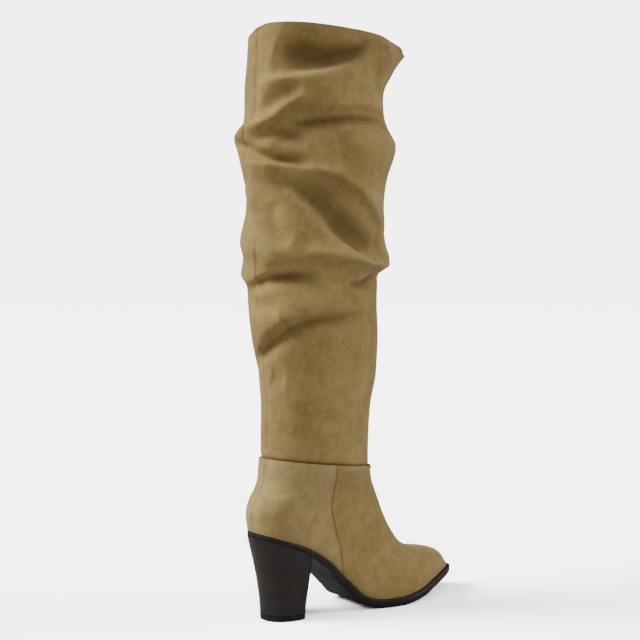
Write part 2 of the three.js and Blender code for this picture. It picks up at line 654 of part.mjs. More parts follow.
// Shaft: one hollow shell with its folds, open at the collar and at the ankle
const shaftPlaces = [
  ...stations(ankleSection - 2, ankleSection + 4, 6),
  ...stations(ankleSection + 4.5, ankleSection + 6.4, 6),
  ...stations(ankleSection + 6.55, ankleSection + 7, 3),
  ...stations(ankleSection + 7.25, collarSection, 20),
];
const shaftSeam = (place) => (place > ankleSection + 1 ? backSeamHeight : 0);
const shaftOuter = formSolid(shaftPlaces, shaftInset, 0, shaftSeam);
const shaftInner = formSolid(shaftPlaces, shaftInset + shaftWall, 2 * foldReach);

const zipPlaceAt = (height) => {
  let place = ankleSection;
  while (sectionAt(place).backZ < seamBack + height) place += 0.01;
  return place;
};
const zipStart = zipPlaceAt(zipBottom);
const zipEnd = zipPlaceAt(zipBottom + zipLength);
const zipTurn = THREE.MathUtils.degToRad(zipAngle);
const halfStrip = (width) => [-0.5, 0.5].map((share) => share * width);
const zipSlot = skinStrip(stations(zipStart, zipEnd, 10), halfStrip(zipSlotWidth), zipTurn,
  () => -footWall, 2 * shaftWall + shaftInset);

const shaftSolid = shaftOuter
  .subtract(shaftInner)
  .subtract(zipSlot)
  .intersect(overLine(seamLine(seamLap)));

// Zip: a tape inside the shaft, teeth in the slot, and a slider at the top with its pull tab
const tapeDepth = shaftInset + shaftWall + clearance;
const tapeOffsets = stations(-0.5, 0.5, 4).map((share) => share * zipTapeWidth);
const tapeMargin = zipSlotWidth / shaftHeight;
const tapePlaces = stations(zipStart - tapeMargin, zipEnd + 3 * tapeMargin, 12);
const tapeBack = tapeDepth + zipTapeThickness + 2 * clearance;
const tapeSolid = skinStrip(tapePlaces, tapeOffsets, zipTurn, () => clearance, tapeBack)
  .intersect(formSolid(shaftPlaces, tapeDepth));

const toothRows = 2 * Math.round(zipLength / zipToothPitch);
const teethInset = 0.02 * (zipEnd - zipStart);
const toothHeight = (index) => shaftInset - (index % 2 ? clearance : 0);
const toothPlaces = stations(zipStart + teethInset, zipEnd - teethInset, toothRows);
const teethSolid = skinStrip(toothPlaces, halfStrip(zipTeethWidth), zipTurn, toothHeight, tapeDepth)
  .subtract(formSolid(shaftPlaces, tapeDepth - clearance));

// Frame of the slider: its seat just over the teeth, up along the zip, out from the shaft
const sliderHeight = zipBottom + zipLength - 0.7 * sliderLength;
const sliderPlaces = [-0.5, 0, 0.5].map((share) => zipPlaceAt(sliderHeight + share * sliderLength));
const sliderTurns = [-0.5, 0, 0.5].map((share) => {
  return zipTurn + (share * sliderWidth) / millimetresPerTurn(sliderPlaces[1], zipTurn);
});
const [underEnd, seatMiddle, upperEnd] = sliderPlaces.map((place) => skinPoint(place, zipTurn, 0));
const [foreEdge, , backEdge] = sliderTurns.map((turn) => skinPoint(sliderPlaces[1], turn, 0));
const upward = upperEnd.sub(underEnd).normalize();
const across = backEdge.sub(foreEdge).projectOnPlane(upward).normalize();
const out = new THREE.Vector3().crossVectors(across, upward);
const skinUnder = sliderPlaces.flatMap((place) => sliderTurns.map((turn) => skinPoint(place, turn, 0)));
const bulge = Math.max(...skinUnder.map((point) => point.sub(seatMiddle).dot(out)));
const barHeight = sliderThickness + barRadius + fingerRoom;
const eyeRadius = barRadius + clearance + eyeWall;
const sliderFrame = new THREE.Matrix4().makeBasis(across, upward, out)
  .setPosition(seatMiddle.clone().addScaledVector(out, bulge));

// Plate with its outline across and up, and its thickness out from the shaft
function plate(outline, from, to) {
  const shape = new THREE.Shape(outline.map(([x, y]) => new THREE.Vector2(x, y)));
  const geometry = new THREE.ExtrudeGeometry(shape, { depth: to - from, bevelEnabled: false });
  return solidOf(geometry.translate(0, 0, from));
}
function mirrored(outline) {
  return [...outline, ...outline.map(([x, y]) => [-x, y]).reverse()];
}
function crossRod(radius, length, sides) {
  const rod = new THREE.CylinderGeometry(radius, radius, length, sides);
  return solidOf(rod.rotateZ(Math.PI / 2).translate(0, 0, barHeight));
}

const eyeWidth = 3;
const postWidth = 1.2;
const postInside = eyeWidth / 2 + clearance;
const sliderOutline = mirrored([
  [0.28 * sliderWidth, -0.5 * sliderLength],
  [0.42 * sliderWidth, -0.4 * sliderLength],
  [0.5 * sliderWidth, 0.25 * sliderLength],
  [0.4 * sliderWidth, 0.5 * sliderLength],
]);
const postOutside = postInside + postWidth;
const postOutline = (side) => [
  [side * postInside, -eyeRadius],
  [side * postOutside, -eyeRadius],
  [side * postOutside, eyeRadius],
  [side * postInside, eyeRadius],
];
const sliderSolid = plate(sliderOutline, 0, sliderThickness)
  .add(plate(postOutline(1), sliderThickness / 2, barHeight + barRadius))
  .add(plate(postOutline(-1).reverse(), sliderThickness / 2, barHeight + barRadius))
  .add(crossRod(barRadius, 2 * postInside + postWidth, 14))
  .transform(sliderFrame.elements);

const pullOutline = mirrored([
  [eyeWidth / 2, 0],
  [eyeWidth / 2, -0.45 * sliderLength - clearance],
  [pullWidth / 2, -0.7 * sliderLength],
  [pullWidth / 2, -pullLength + 0.3 * pullWidth],
  [0.3 * pullWidth, -pullLength],
]);
const pullHole = new THREE.CylinderGeometry(0.2 * pullWidth, 0.2 * pullWidth, 2 * pullThickness, 14)
  .rotateX(Math.PI / 2)
  .translate(0, -pullLength + 0.55 * pullWidth, barHeight);
const pullSolid = plate(pullOutline, barHeight - pullThickness / 2, barHeight + pullThickness / 2)
  .subtract(solidOf(pullHole))
  .add(crossRod(eyeRadius, eyeWidth, 18))
  .subtract(crossRod(barRadius + clearance, 2 * eyeWidth, 18))
  .transform(sliderFrame.elements);

const finishes = {
  suede: { color: '#98804f', roughness: 0.95, metalness: 0 },
  stack: { color: '#332e2b', roughness: 0.55, metalness: 0 },
  rubber: { color: '#231f1e', roughness: 0.7, metalness: 0 },
  lining: { color: '#b59a72', roughness: 0.8, metalness: 0 },
  tape: { color: '#46302a', roughness: 0.9, metalness: 0 },
  metal: { color: '#6f6254', roughness: 0.35, metalness: 1 },
};

const boot = new THREE.Group();
function addPiece(name, solid, finish) {
  const mesh = solid.getMesh();
  const points = [];
  for (let i = 0; i < mesh.vertProperties.length; i += mesh.numProp) {
    points.push(mesh.vertProperties[i], mesh.vertProperties[i + 1], mesh.vertProperties[i + 2]);
  }
  const geometry = new THREE.BufferGeometry();
  geometry.setAttribute('position', new THREE.Float32BufferAttribute(points, 3));
  geometry.setIndex([...mesh.triVerts]);
  geometry.computeVertexNormals();
  const piece = new THREE.Mesh(geometry, new THREE.MeshStandardMaterial(finishes[finish]));
  piece.name = name;
  boot.add(piece);
}

addPiece('outsole', outsoleSolid, 'rubber');
addPiece('heel_block', heelBlockSolid, 'stack');
addPiece('heel_tip', heelTipSolid, 'rubber');
addPiece('insole', insoleSolid, 'lining');
addPiece('upper', upperSolid, 'suede');
addPiece('shaft', shaftSolid, 'suede');
addPiece('zip_tape', tapeSolid, 'tape');
addPiece('zip_teeth', teethSolid, 'metal');
addPiece('zip_slider', sliderSolid, 'metal');
addPiece('zip_pull', pullSolid, 'metal');

export default boot;
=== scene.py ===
import json
from math import cos, pi, radians, sin

import bpy
import numpy as np
from mathutils import Matrix, Vector


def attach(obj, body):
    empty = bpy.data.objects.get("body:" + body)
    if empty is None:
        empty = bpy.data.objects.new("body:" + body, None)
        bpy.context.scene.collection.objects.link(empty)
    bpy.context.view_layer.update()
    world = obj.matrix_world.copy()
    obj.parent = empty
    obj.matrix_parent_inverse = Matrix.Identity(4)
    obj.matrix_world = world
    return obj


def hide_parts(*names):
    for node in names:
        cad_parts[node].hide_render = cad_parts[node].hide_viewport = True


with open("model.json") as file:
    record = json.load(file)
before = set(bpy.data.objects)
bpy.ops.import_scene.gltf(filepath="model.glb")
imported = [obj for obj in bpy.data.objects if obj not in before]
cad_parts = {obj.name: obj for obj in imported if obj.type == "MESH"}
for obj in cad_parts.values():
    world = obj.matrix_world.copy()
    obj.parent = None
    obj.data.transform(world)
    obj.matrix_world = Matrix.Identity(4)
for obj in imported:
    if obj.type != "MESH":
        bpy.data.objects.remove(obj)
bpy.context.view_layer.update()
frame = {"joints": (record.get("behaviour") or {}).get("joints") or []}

# Foot part: a vamp over the toes and a quarter round the heel, cut from sand suede, drawn over
# the last and held between it and the sole. The last's sections run from the toe over the
# instep and round the heel to the ankle seam.
foot_length = 0.242
heel_overhang = 0.031
ball_width = 0.065
heel_height = 0.082
toe_spring = 0.015
vamp_height = 0.051
quarter_height = 0.064
ankle_length = 0.109
ankle_width = 0.075
shaft_height = 0.390
calf_length = 0.142
calf_width = 0.106
sole_thickness = 0.0075
foot_wall = 0.0018
vamp_step = 0.0008
joint_gap = 0.0003
edge_ease = 0.0007
back_seam_width = 0.0055
back_seam_height = 0.0006
toe_tip = 0.9585
seam_back = heel_height + quarter_height
seam_front = heel_height + vamp_height


def table(names, *rows):
    """Columns of a table written row by row, by their names"""
    return {name: np.array([row[i] for row in rows]) for i, name in enumerate(names.split())}


def along(rows, key, name, at):
    """A column of a table between its rows, on a smooth curve that never overshoots"""
    keys, values = rows[key], rows[name]
    grade = np.diff(values) / np.diff(keys)
    before, after = grade[:-1], grade[1:]
    same = before * after > 0
    inner = np.where(same, 2 * before * after / np.where(same, before + after, 1), 0)
    slope = np.concatenate([grade[:1], inner, grade[-1:]])
    i = np.clip(np.searchsorted(keys, at) - 1, 0, len(keys) - 2)
    span = keys[i + 1] - keys[i]
    t = np.clip((at - keys[i]) / span, 0, 1)
    start = values[i] * (2 * t**3 - 3 * t**2 + 1) + values[i + 1] * (3 * t**2 - 2 * t**3)
    return start + span * (slope[i] * (t**3 - 2 * t**2 + t) + slope[i + 1] * (t**3 - t**2))


sole_rows = table(
    "x lift spring thick ledge",
    (-0.060, 1.020, 0.00, 0.50, -0.27),
    (0.000, 0.990, 0.00, 0.50, -0.27),
    (0.085, 0.905, 0.00, 0.50, -0.25),
    (0.157, 0.825, 0.00, 0.55, -0.20),
    (0.217, 0.735, 0.00, 0.80, -0.10),
    (0.264, 0.640, 0.00, 0.90, 0.05),
    (0.313, 0.515, 0.00, 0.90, 0.20),
    (0.360, 0.360, 0.00, 0.90, 0.30),
    (0.407, 0.215, 0.00, 0.92, 0.45),
    (0.452, 0.085, 0.00, 0.96, 0.65),
    (0.488, 0.031, 0.00, 1.00, 0.80),
    (0.519, 0.010, 0.00, 1.00, 0.90),
    (0.560, 0.001, 0.00, 1.00, 0.95),
    (0.610, 0.000, 0.00, 1.00, 1.00),
    (0.686, 0.000, 0.15, 1.00, 1.00),
    (0.803, 0.000, 0.55, 1.00, 1.00),
    (0.901, 0.000, 0.80, 1.00, 1.00),
    (1.060, 0.000, 1.15, 1.00, 1.00),
)
ridge_rows = table(
    "x lift rise",
    (0.9490, 0.00, 0.500),
    (0.9280, 0.00, 0.637),
    (0.8930, 0.00, 0.745),
    (0.8180, 0.02, 0.811),
    (0.7400, 0.06, 0.815),
    (0.6800, 0.16, 0.811),
    (0.6340, 0.34, 0.806),
    (0.6050, 0.50, 0.814),
    (0.5910, 0.60, 0.810),
    (0.5820, 0.68, 0.798),
    (0.5720, 0.76, 0.788),
    (0.5630, 0.83, 0.783),
    (0.5550, 0.89, 0.795),
    (0.5475, 0.93, 0.820),
    (0.5410, 0.96, 0.860),
    (0.5360, 0.98, 0.905),
    (0.5310, 1.00, 0.935),
    (0.5280, 1.00, 0.970),
)
foot_rows = table(
    "x outer inner shift widest top bottom",
    (0.9445, 0.092, 0.092, 0.085, 0.42, 2.00, 2.6),
    (0.9160, 0.150, 0.165, 0.077, 0.38, 2.00, 3.0),
    (0.8720, 0.235, 0.256, 0.069, 0.35, 2.00, 3.4),
    (0.8020, 0.360, 0.370, 0.054, 0.31, 1.95, 4.0),
    (0.7190, 0.458, 0.477, 0.023, 0.27, 1.90, 4.5),
    (0.6360, 0.477, 0.523, 0.008, 0.24, 1.85, 4.5),
    (0.5496, 0.445, 0.515, 0.000, 0.24, 1.80, 4.5),
    (0.4750, 0.410, 0.462, 0.000, 0.26, 1.80, 4.2),
    (0.4050, 0.392, 0.415, 0.000, 0.29, 1.80, 4.0),
    (0.3310, 0.392, 0.400, 0.000, 0.31, 1.80, 3.8),
    (0.2400, 0.402, 0.405, 0.000, 0.32, 1.80, 3.8),
    (0.1280, 0.408, 0.408, 0.000, 0.33, 1.85, 3.6),
    (0.0455, 0.408, 0.408, 0.000, 0.34, 1.85, 3.2),
)
heel_rows = table(
    "x rise outer inner widest top bottom",
    (0.0157, 0.035, 0.415, 0.415, 0.36, 1.90, 2.5),
    (0.0066, 0.220, 0.443, 0.440, 0.39, 1.95, 2.2),
    (0.0207, 0.400, 0.474, 0.471, 0.42, 2.00, 2.1),
    (0.0434, 0.540, 0.508, 0.506, 0.45, 2.00, 2.0),
    (0.0603, 0.720, 0.545, 0.543, 0.48, 2.00, 2.0),
)
shaft_rows = table(
    "height tilt front back width calf",
    (0.000, 1.00, 0.885, 0.140, 0.500, 0),
    (0.030, 0.80, 0.882, 0.140, 0.504, 0),
    (0.068, 0.40, 0.888, 0.138, 0.510, 0),
    (0.118, 0.10, 0.905, 0.136, 0.520, 0),
    (0.195, 0.00, 0.742, 0.124, 0.388, 1),
    (0.282, 0.00, 0.752, 0.172, 0.415, 1),
    (0.370, 0.00, 0.738, 0.196, 0.440, 1),
    (0.472, 0.00, 0.745, 0.203, 0.470, 1),
    (0.600, 0.00, 0.785, 0.192, 0.490, 1),
    (0.728, 0.00, 0.796, 0.214, 0.508, 1),
    (0.856, 0.00, 0.778, 0.212, 0.500, 1),
    (0.935, 0.00, 0.862, 0.196, 0.508, 1),
    (1.000, 0.00, 0.965, 0.188, 0.520, 1),
)


def place_x(share):
    return share * foot_length - heel_overhang


def share_x(x):
    return (x + heel_overhang) / foot_length


def sole_top(x):
    """Height of the sole's top face"""
    lift = along(sole_rows, "x", "lift", share_x(x)) * (heel_height - sole_thickness)
    return sole_thickness + lift + along(sole_rows, "x", "spring", share_x(x)) * toe_spring


def sole_under(x):
    """Height of the sole's underside, square to its slope"""
    slope = (sole_top(x + 0.0005) - sole_top(x - 0.0005)) / 0.001
    thick = along(sole_rows, "x", "thick", share_x(x)) * sole_thickness
    return sole_top(x) - thick * np.hypot(1, slope)


heels, feet = len(heel_rows["x"]), len(foot_rows["x"])
length = np.where(shaft_rows["calf"], calf_length, ankle_length)
width = np.where(shaft_rows["calf"], calf_width, ankle_width)
level = seam_back + shaft_rows["height"] * shaft_height
plain = np.zeros(heels)
round_shaft = np.full(len(level), 2.0)
sections = {
    "front_x": np.concatenate([place_x(ridge_rows["x"]), shaft_rows["front"] * length]),
    "front_z": np.concatenate([
        ridge_rows["lift"] * heel_height + ridge_rows["rise"] * vamp_height,
        level - shaft_rows["tilt"] * (seam_back - seam_front),
    ]),
    "back_x": np.concatenate([
        place_x(foot_rows["x"]), place_x(heel_rows["x"]), -shaft_rows["back"] * length,
    ]),
    "back_z": np.concatenate([
        sole_top(place_x(foot_rows["x"])) - 0.007,
        heel_height + heel_rows["rise"] * quarter_height,
        level,
    ]),
    "outer": np.concatenate([
        foot_rows["outer"] * ball_width, heel_rows["outer"] * ball_width,
        shaft_rows["width"] * width,
    ]),
    "inner": np.concatenate([
        foot_rows["inner"] * ball_width, heel_rows["inner"] * ball_width,
        shaft_rows["width"] * width,
    ]),
    "shift": np.concatenate([foot_rows["shift"] * ball_width, plain, 0 * level]),
    "widest": np.concatenate([foot_rows["widest"], heel_rows["widest"], 0 * level + 0.5]),
    "top": np.concatenate([foot_rows["top"], heel_rows["top"], round_shaft]),
    "bottom": np.concatenate([foot_rows["bottom"], heel_rows["bottom"], round_shaft]),
    "place": np.arange(feet + heels + len(level), dtype=float),
}
ankle = feet + heels
collar = len(sections["place"]) - 1
fold_sheets = []


def form(place, angle):
    """Points of the last and of the shaft over it. Angle turns from the ridge over the inner side"""
    place = np.asarray(place, float)
    at = {name: along(sections, "place", name, place) for name in sections}
    c, s = np.cos(angle), np.sin(angle)
    power = 2 / np.where(c >= 0, at["top"], at["bottom"])
    reach = np.where(c >= 0, 1 - at["widest"], at["widest"])
    share = at["widest"] + np.sign(c) * reach * np.abs(c) ** power
    half = np.where(s > 0, at["inner"], at["outer"])
    x = at["back_x"] + (at["front_x"] - at["back_x"]) * share
    y = at["shift"] + np.sign(s) * half * np.abs(s) ** power
    z = at["back_z"] + (at["front_z"] - at["back_z"]) * share
    for slouch in fold_sheets:
        x, y, z = slouch(place, angle, at, half, x, y, z)
    return np.stack(np.broadcast_arrays(x, y, z), -1)


def skin(place, angle, depth):
    """Points at a depth under the form, or over it where the depth is negative"""
    upper, lower = np.minimum(place + 0.05, collar), np.maximum(place - 0.05, 0)
    up = form(upper, angle) - form(lower, angle)
    around = form(place, angle + 0.03) - form(place, angle - 0.03)
    out = np.cross(around, up)
    out /= np.linalg.norm(out, axis=-1, keepdims=True)
    return form(place, angle) - out * np.asarray(depth)[..., None]


def only_selected(piece):
    """Deselects everything but one piece and makes it the active one"""
    bpy.ops.object.select_all(action="DESELECT")
    piece.select_set(True)
    bpy.context.view_layer.objects.active = piece


def in_edit_mode(piece, work):
    """Does some edit-mode work on a piece"""
    only_selected(piece)
    bpy.ops.object.mode_set(mode="EDIT")
    work()
    bpy.ops.object.mode_set(mode="OBJECT")


def sheet(name, points):
    """A grid primitive with each vertex moved to its point, by row and column"""
    rows, columns = points.shape[:2]
    bpy.ops.mesh.primitive_grid_add(x_subdivisions=columns - 1, y_subdivisions=rows - 1, size=1)
    piece = bpy.context.object
    piece.name = piece.data.name = name
    flat = np.empty(3 * rows * columns)
    piece.data.vertices.foreach_get("co", flat)
    flat = flat.reshape(-1, 3)
    column = np.rint((flat[:, 0] + 0.5) * (columns - 1)).astype(int)
    row = np.rint((flat[:, 1] + 0.5) * (rows - 1)).astype(int)
    piece.data.vertices.foreach_set("co", points[row, column].ravel())
    piece.data.update()
    return piece, row, column


def faces_of(piece):
    """Centres of a piece's faces"""
    centres = np.empty(3 * len(piece.data.polygons))
    piece.data.polygons.foreach_get("center", centres)
    return centres.reshape(-1, 3)


def select_faces(piece, chosen):
    """Selects the chosen faces alone, in object mode"""
    piece.data.vertices.foreach_set("select", np.zeros(len(piece.data.vertices), bool))
    piece.data.edges.foreach_set("select", np.zeros(len(piece.data.edges), bool))
    piece.data.polygons.foreach_set("select", chosen)
    piece.data.update()


def add_modifier(piece, kind, **settings):
    """Adds a modifier and applies it"""
    only_selected(piece)
    modifier = piece.modifiers.new(kind.title(), kind)
    for name, value in settings.items():
        setattr(modifier, name, value)
    bpy.ops.object.modifier_apply(modifier=modifier.name)


# how far round each section the sole's top face cuts the outer skin, on each side
feather_places = np.linspace(0, ankle, 541)
feather_angles = np.radians(np.linspace(60, 180, 241))
feather_turn = {}
for side in (-1, 1):
    points = skin(feather_places[:, None], side * feather_angles[None], -foot_wall)
    over = points[..., 2] - sole_top(points[..., 0]) - joint_gap
    under = over <= 0
    first = np.argmax(under, axis=1)
    rows = np.arange(len(feather_places))
    a, b = over[rows, first - 1], over[rows, first]
    turn = feather_angles[first - 1] + (a / (a - b)) * (feather_angles[1] - feather_angles[0])
    feather_turn[side] = np.where(under.any(axis=1) & (first > 0), turn, pi)
closed_at = feather_places[np.argmax(np.minimum(feather_turn[-1], feather_turn[1]) >= pi)]

# rows lie at even steps along the sole to the back of the heel, and from there up to the ankle
on_sole = feather_places <= closed_at
edge = sum(skin(feather_places[on_sole], side * feather_turn[side][on_sole], -foot_wall)
           * np.array([0.5, side * 0.5, 0.5]) for side in (-1, 1))
steps = np.concatenate([[0], np.cumsum(np.linalg.norm(np.diff(edge, axis=0), axis=1))])
rows_on_sole, rows_over_heel = 150, 44
row_places = np.concatenate([
    np.interp(np.linspace(0, steps[-1], rows_on_sole), steps, feather_places[on_sole]),
    np.linspace(closed_at, ankle, rows_over_heel)[1:],
])
half_columns = 74
cap_rows = 12
angle_samples = np.concatenate([
    np.linspace(0, pi / 2, 100), pi / 2 + np.arcsin(np.linspace(0, 1, 160)[1:] ** 2.25),
])
seam_marks = np.array([0.00275, 0.0022, 0.00175, 0.0009, 0.0])


def toe_shrink(u):
    """How much the toe's last section has closed in at a share of the way to the tip"""
    return np.sqrt(np.maximum(0, 1 - 0.3 * u - 0.7 * u * u))


def foot_grid(depth):
    """Points of the foot part's skin, row by row from the toe, from the outer side to the inner"""
    grid = []
    for side in (-1, 1):
        limit = np.interp(row_places, feather_places, feather_turn[side])
        path = form(row_places[:, None], side * angle_samples[None])
        steps = np.linalg.norm(np.diff(path, axis=1), axis=2)
        arcs = np.concatenate([np.zeros((len(row_places), 1)), np.cumsum(steps, axis=1)], axis=1)
        turns = np.empty((len(row_places), half_columns + 1))
        for row, arc in enumerate(arcs):
            whole = np.interp(limit[row], angle_samples, arc)
            marks = whole - seam_marks * min(1, whole / 0.02)
            even = np.linspace(0, marks[0], half_columns + 2 - len(marks))
            turns[row] = np.interp(np.concatenate([even[:-1], marks]), arc, angle_samples)
        raised = np.where(np.arange(half_columns + 1) > half_columns - 4, back_seam_height, 0)
        raised[-1] *= 0.5
        behind = np.clip((row_places - closed_at) / 0.3, 0, 1)
        lifted = depth - raised[None] * behind[:, None] * (depth > -foot_wall - vamp_step / 2)
        eased = np.clip((row_places - ankle + 0.7) / 0.7, 0, 1)[:, None] ** 2
        lifted = lifted + edge_ease * eased * (depth < 0)
        half = skin(row_places[:, None], side * turns, lifted)
        grid.append(half[:, ::-1] if side < 0 else half[:, 1:])
    grid = np.concatenate(grid, axis=1)
    ring = skin(np.zeros(72), np.linspace(0, 2 * pi, 72), depth)
    middle = ring.mean(axis=0)
    middle[2] = sole_top(middle[0]) + joint_gap
    tip = np.array([place_x(toe_tip) - depth, middle[1], middle[2]])
    cap = []
    for u in np.sin(np.linspace(pi / 2, 0, cap_rows + 1)[:-1]):
        cap.append(middle + (grid[0] - middle) * toe_shrink(u) + (tip - middle) * u)
    grid = np.concatenate([np.array(cap), grid])
    floor_level = sole_top(grid[..., 0]) + joint_gap
    grid[..., 2] = np.maximum(grid[..., 2], floor_level)
    return grid


side_seam = table(
    "x height",
    (0.378, 0.00), (0.368, 0.20), (0.354, 0.46), (0.333, 0.78), (0.315, 0.92), (0.296, 1.20),
    (0.282, 1.90),
)
side_seam_x = place_x(side_seam["x"])
side_seam_z = side_seam["height"] * heel_height


def foot_piece(name, depth, thickness, keep_front):
    """Skin of the vamp or the quarter, cut along the side seam and given its wall"""
    piece, _, _ = sheet(name, foot_grid(depth))
    in_edit_mode(piece, lambda: bpy.ops.mesh.remove_doubles(threshold=2e-6))
    for i in range(len(side_seam_x) - 1):
        low = np.array([side_seam_x[i], 0, side_seam_z[i]])
        high = np.array([side_seam_x[i + 1], 0, side_seam_z[i + 1]])
        along_seam = high - low
        centre = faces_of(piece)
        near = (centre[:, 2] > low[2] - 0.002) & (centre[:, 2] < high[2] + 0.002)
        near &= abs(centre[:, 0] - np.interp(centre[:, 2], side_seam_z, side_seam_x)) < 0.006
        select_faces(piece, near)
        if not near.any():
            continue
        in_edit_mode(piece, lambda: bpy.ops.mesh.bisect(
            plane_co=low, plane_no=(along_seam[2], 0, -along_seam[0]), threshold=1e-6))
    centre = faces_of(piece)
    ahead = centre[:, 0] > np.interp(centre[:, 2], side_seam_z, side_seam_x)
    select_faces(piece, ahead != keep_front)
    in_edit_mode(piece, lambda: bpy.ops.mesh.delete(type="FACE"))
    add_modifier(piece, "SOLIDIFY", thickness=thickness, offset=-1, material_offset=1)
    bpy.ops.object.shade_smooth_by_angle(angle=radians(50))
    return piece


vamp = foot_piece("vamp_suede", -foot_wall - vamp_step, foot_wall + vamp_step - 0.0002, True)
quarter = foot_piece("quarter_suede_painted_lighter", -foot_wall, foot_wall - 0.0002, False)


def node(tree, kind, settings=None, **inputs):
    """A shader node with its settings and inputs, each a value or another node's output"""
    made = tree.nodes.new("ShaderNode" + kind)
    for name, value in (settings or {}).items():
        setattr(made, name, value)
    for name, value in inputs.items():
        socket = made.inputs[int(name[1:]) if name[1:].isdigit() else name.replace("_", " ")]
        if isinstance(value, bpy.types.NodeSocket):
            tree.links.new(value, socket)
        else:
            socket.default_value = value
    return made


def noise(tree, vector, scale, detail=3.0, rough=0.5, distortion=0.0):
    """Noise value at a scale per metre"""
    return node(tree, "TexNoise", Vector=vector, Scale=scale, Detail=detail, Roughness=rough,
                Distortion=distortion).outputs[0]


def blend(tree, factor, first, second):
    """Colour between two colours"""
    return node(tree, "Mix", {"data_type": "RGBA"}, i0=factor, i6=first, i7=second).outputs[2]


def spread(tree, value, low, high, to_low=0.0, to_high=1.0):
    """Value stretched from one range to another, held at its ends"""
    made = node(tree, "MapRange", {"interpolation_type": "SMOOTHSTEP"}, i0=value, i1=low, i2=high,
                i3=to_low, i4=to_high)
    return made.outputs[0]


def finish(name, **sockets):
    """A material with constant numbers on its own shader sockets"""
    made = bpy.data.materials.new(name)
    made.use_nodes = True
    shader = made.node_tree.nodes["Principled BSDF"]
    for socket, value in sockets.items():
        shader.inputs[socket.replace("_", " ")].default_value = value
    return made, made.node_tree, shader


def surface(tree, shader, colour=None, roughness=None, height=None, strength=0.3, distance=0.0004):
    """Links a material's colour, roughness and relief to its shader"""
    if colour is not None:
        tree.links.new(colour, shader.inputs["Base Color"])
    if roughness is not None:
        tree.links.new(roughness, shader.inputs["Roughness"])
    if height is not None:
        bump = node(tree, "Bump", Strength=strength, Distance=distance, Height=height)
        tree.links.new(bump.outputs[0], shader.inputs["Normal"])


def object_place(tree):
    return node(tree, "TexCoord").outputs["Object"]


def stretched(tree, spot, scale, turn=(0, 0, 0)):
    """Places scaled by a factor a metre along each axis"""
    return node(tree, "Mapping", i1=(0, 0, 0), i2=turn, i3=scale, Vector=spot).outputs[0]


def maths(tree, operation, *values):
    """Result of a Math node on values or other nodes' outputs"""
    inputs = {f"i{i}": value for i, value in enumerate(values)}
    return node(tree, "Math", {"operation": operation}, **inputs).outputs[0]


# the suede's short nap lies lighter or darker as it was stroked; painted shade darkens the creases
# and a painted highlight, with some rubbed wear, lightens the ridges of the folds
nap = bpy.data.node_groups.new("brushed_nap_and_fold_shade", "ShaderNodeTree")
for way, socket, kind in (
    ("INPUT", "Light", "Color"), ("INPUT", "Dark", "Color"), ("INPUT", "Fold", "Float"),
    ("OUTPUT", "Color", "Color"), ("OUTPUT", "Roughness", "Float"), ("OUTPUT", "Height", "Float"),
):
    nap.interface.new_socket(name=socket, in_out=way, socket_type="NodeSocket" + kind)
given = nap.nodes.new("NodeGroupInput").outputs
result = nap.nodes.new("NodeGroupOutput").inputs
spot = object_place(nap)
patches = noise(nap, spot, 16, 3, 0.5, 0.4)
mottle = noise(nap, spot, 95, 5, 0.66, 0.4)
strokes = noise(nap, stretched(nap, spot, (260, 260, 110), (0, radians(14), 0)), 1.0, 4, 0.62, 0.5)
grain = noise(nap, spot, 900, 3, 0.6)
fuzz = noise(nap, spot, 2600, 2, 0.6)


def weighed(tree, *pairs):
    """Sum of values, each by its weight"""
    total = 0.0
    for value, weight in pairs:
        total = maths(tree, "MULTIPLY_ADD", value, weight, total)
    return total


tone = weighed(nap, (patches, 0.44), (mottle, 0.42), (strokes, 0.14))
tone = spread(nap, tone, 0.34, 0.66)
colour = blend(nap, tone, given["Dark"], given["Light"])
speckle = weighed(nap, (grain, 0.6), (fuzz, 0.4))
colour = blend(nap, spread(nap, speckle, 0.35, 0.68, 0.0, 0.22), colour, given["Dark"])
# painted shade: the creases are darkened towards a deep brown
deep = spread(nap, given["Fold"], -0.15, -0.95, 0.0, 0.62)
colour = blend(nap, deep, colour, (0.10, 0.056, 0.018, 1))
# painted highlight, with some rubbed wear: the ridges of the folds are lightened
ridge_highlight_and_wear = spread(nap, given["Fold"], 0.25, 1.0, 0.0, 0.35)
colour = blend(nap, ridge_highlight_and_wear, colour, given["Light"])
nap.links.new(colour, result["Color"])
nap.links.new(spread(nap, mottle, 0.3, 0.7, 0.86, 0.98), result["Roughness"])
relief = weighed(nap, (mottle, 1.0), (strokes, 0.45), (grain, 0.30), (fuzz, 0.16))
nap.links.new(relief, result["Height"])


def suede(name, light, dark):
    """Sand suede with a velvet sheen; its nap group paints shade in the creases and a highlight on the
    fold ridges
    """
    made, tree, shader = finish(name, Specular_IOR_Level=0.15, Sheen_Weight=0.30,
                                Sheen_Roughness=0.45, Sheen_Tint=(0.95, 0.84, 0.62, 1))
    group = node(tree, "Group", {"node_tree": nap})
    group.inputs["Light"].default_value = light
    group.inputs["Dark"].default_value = dark
    mark = node(tree, "Attribute", {"attribute_name": "fold", "attribute_type": "GEOMETRY"})
    tree.links.new(mark.outputs["Fac"], group.inputs["Fold"])
    surface(tree, shader, group.outputs["Color"], group.outputs["Roughness"],
            group.outputs["Height"], 0.55, 0.0011)
    return made


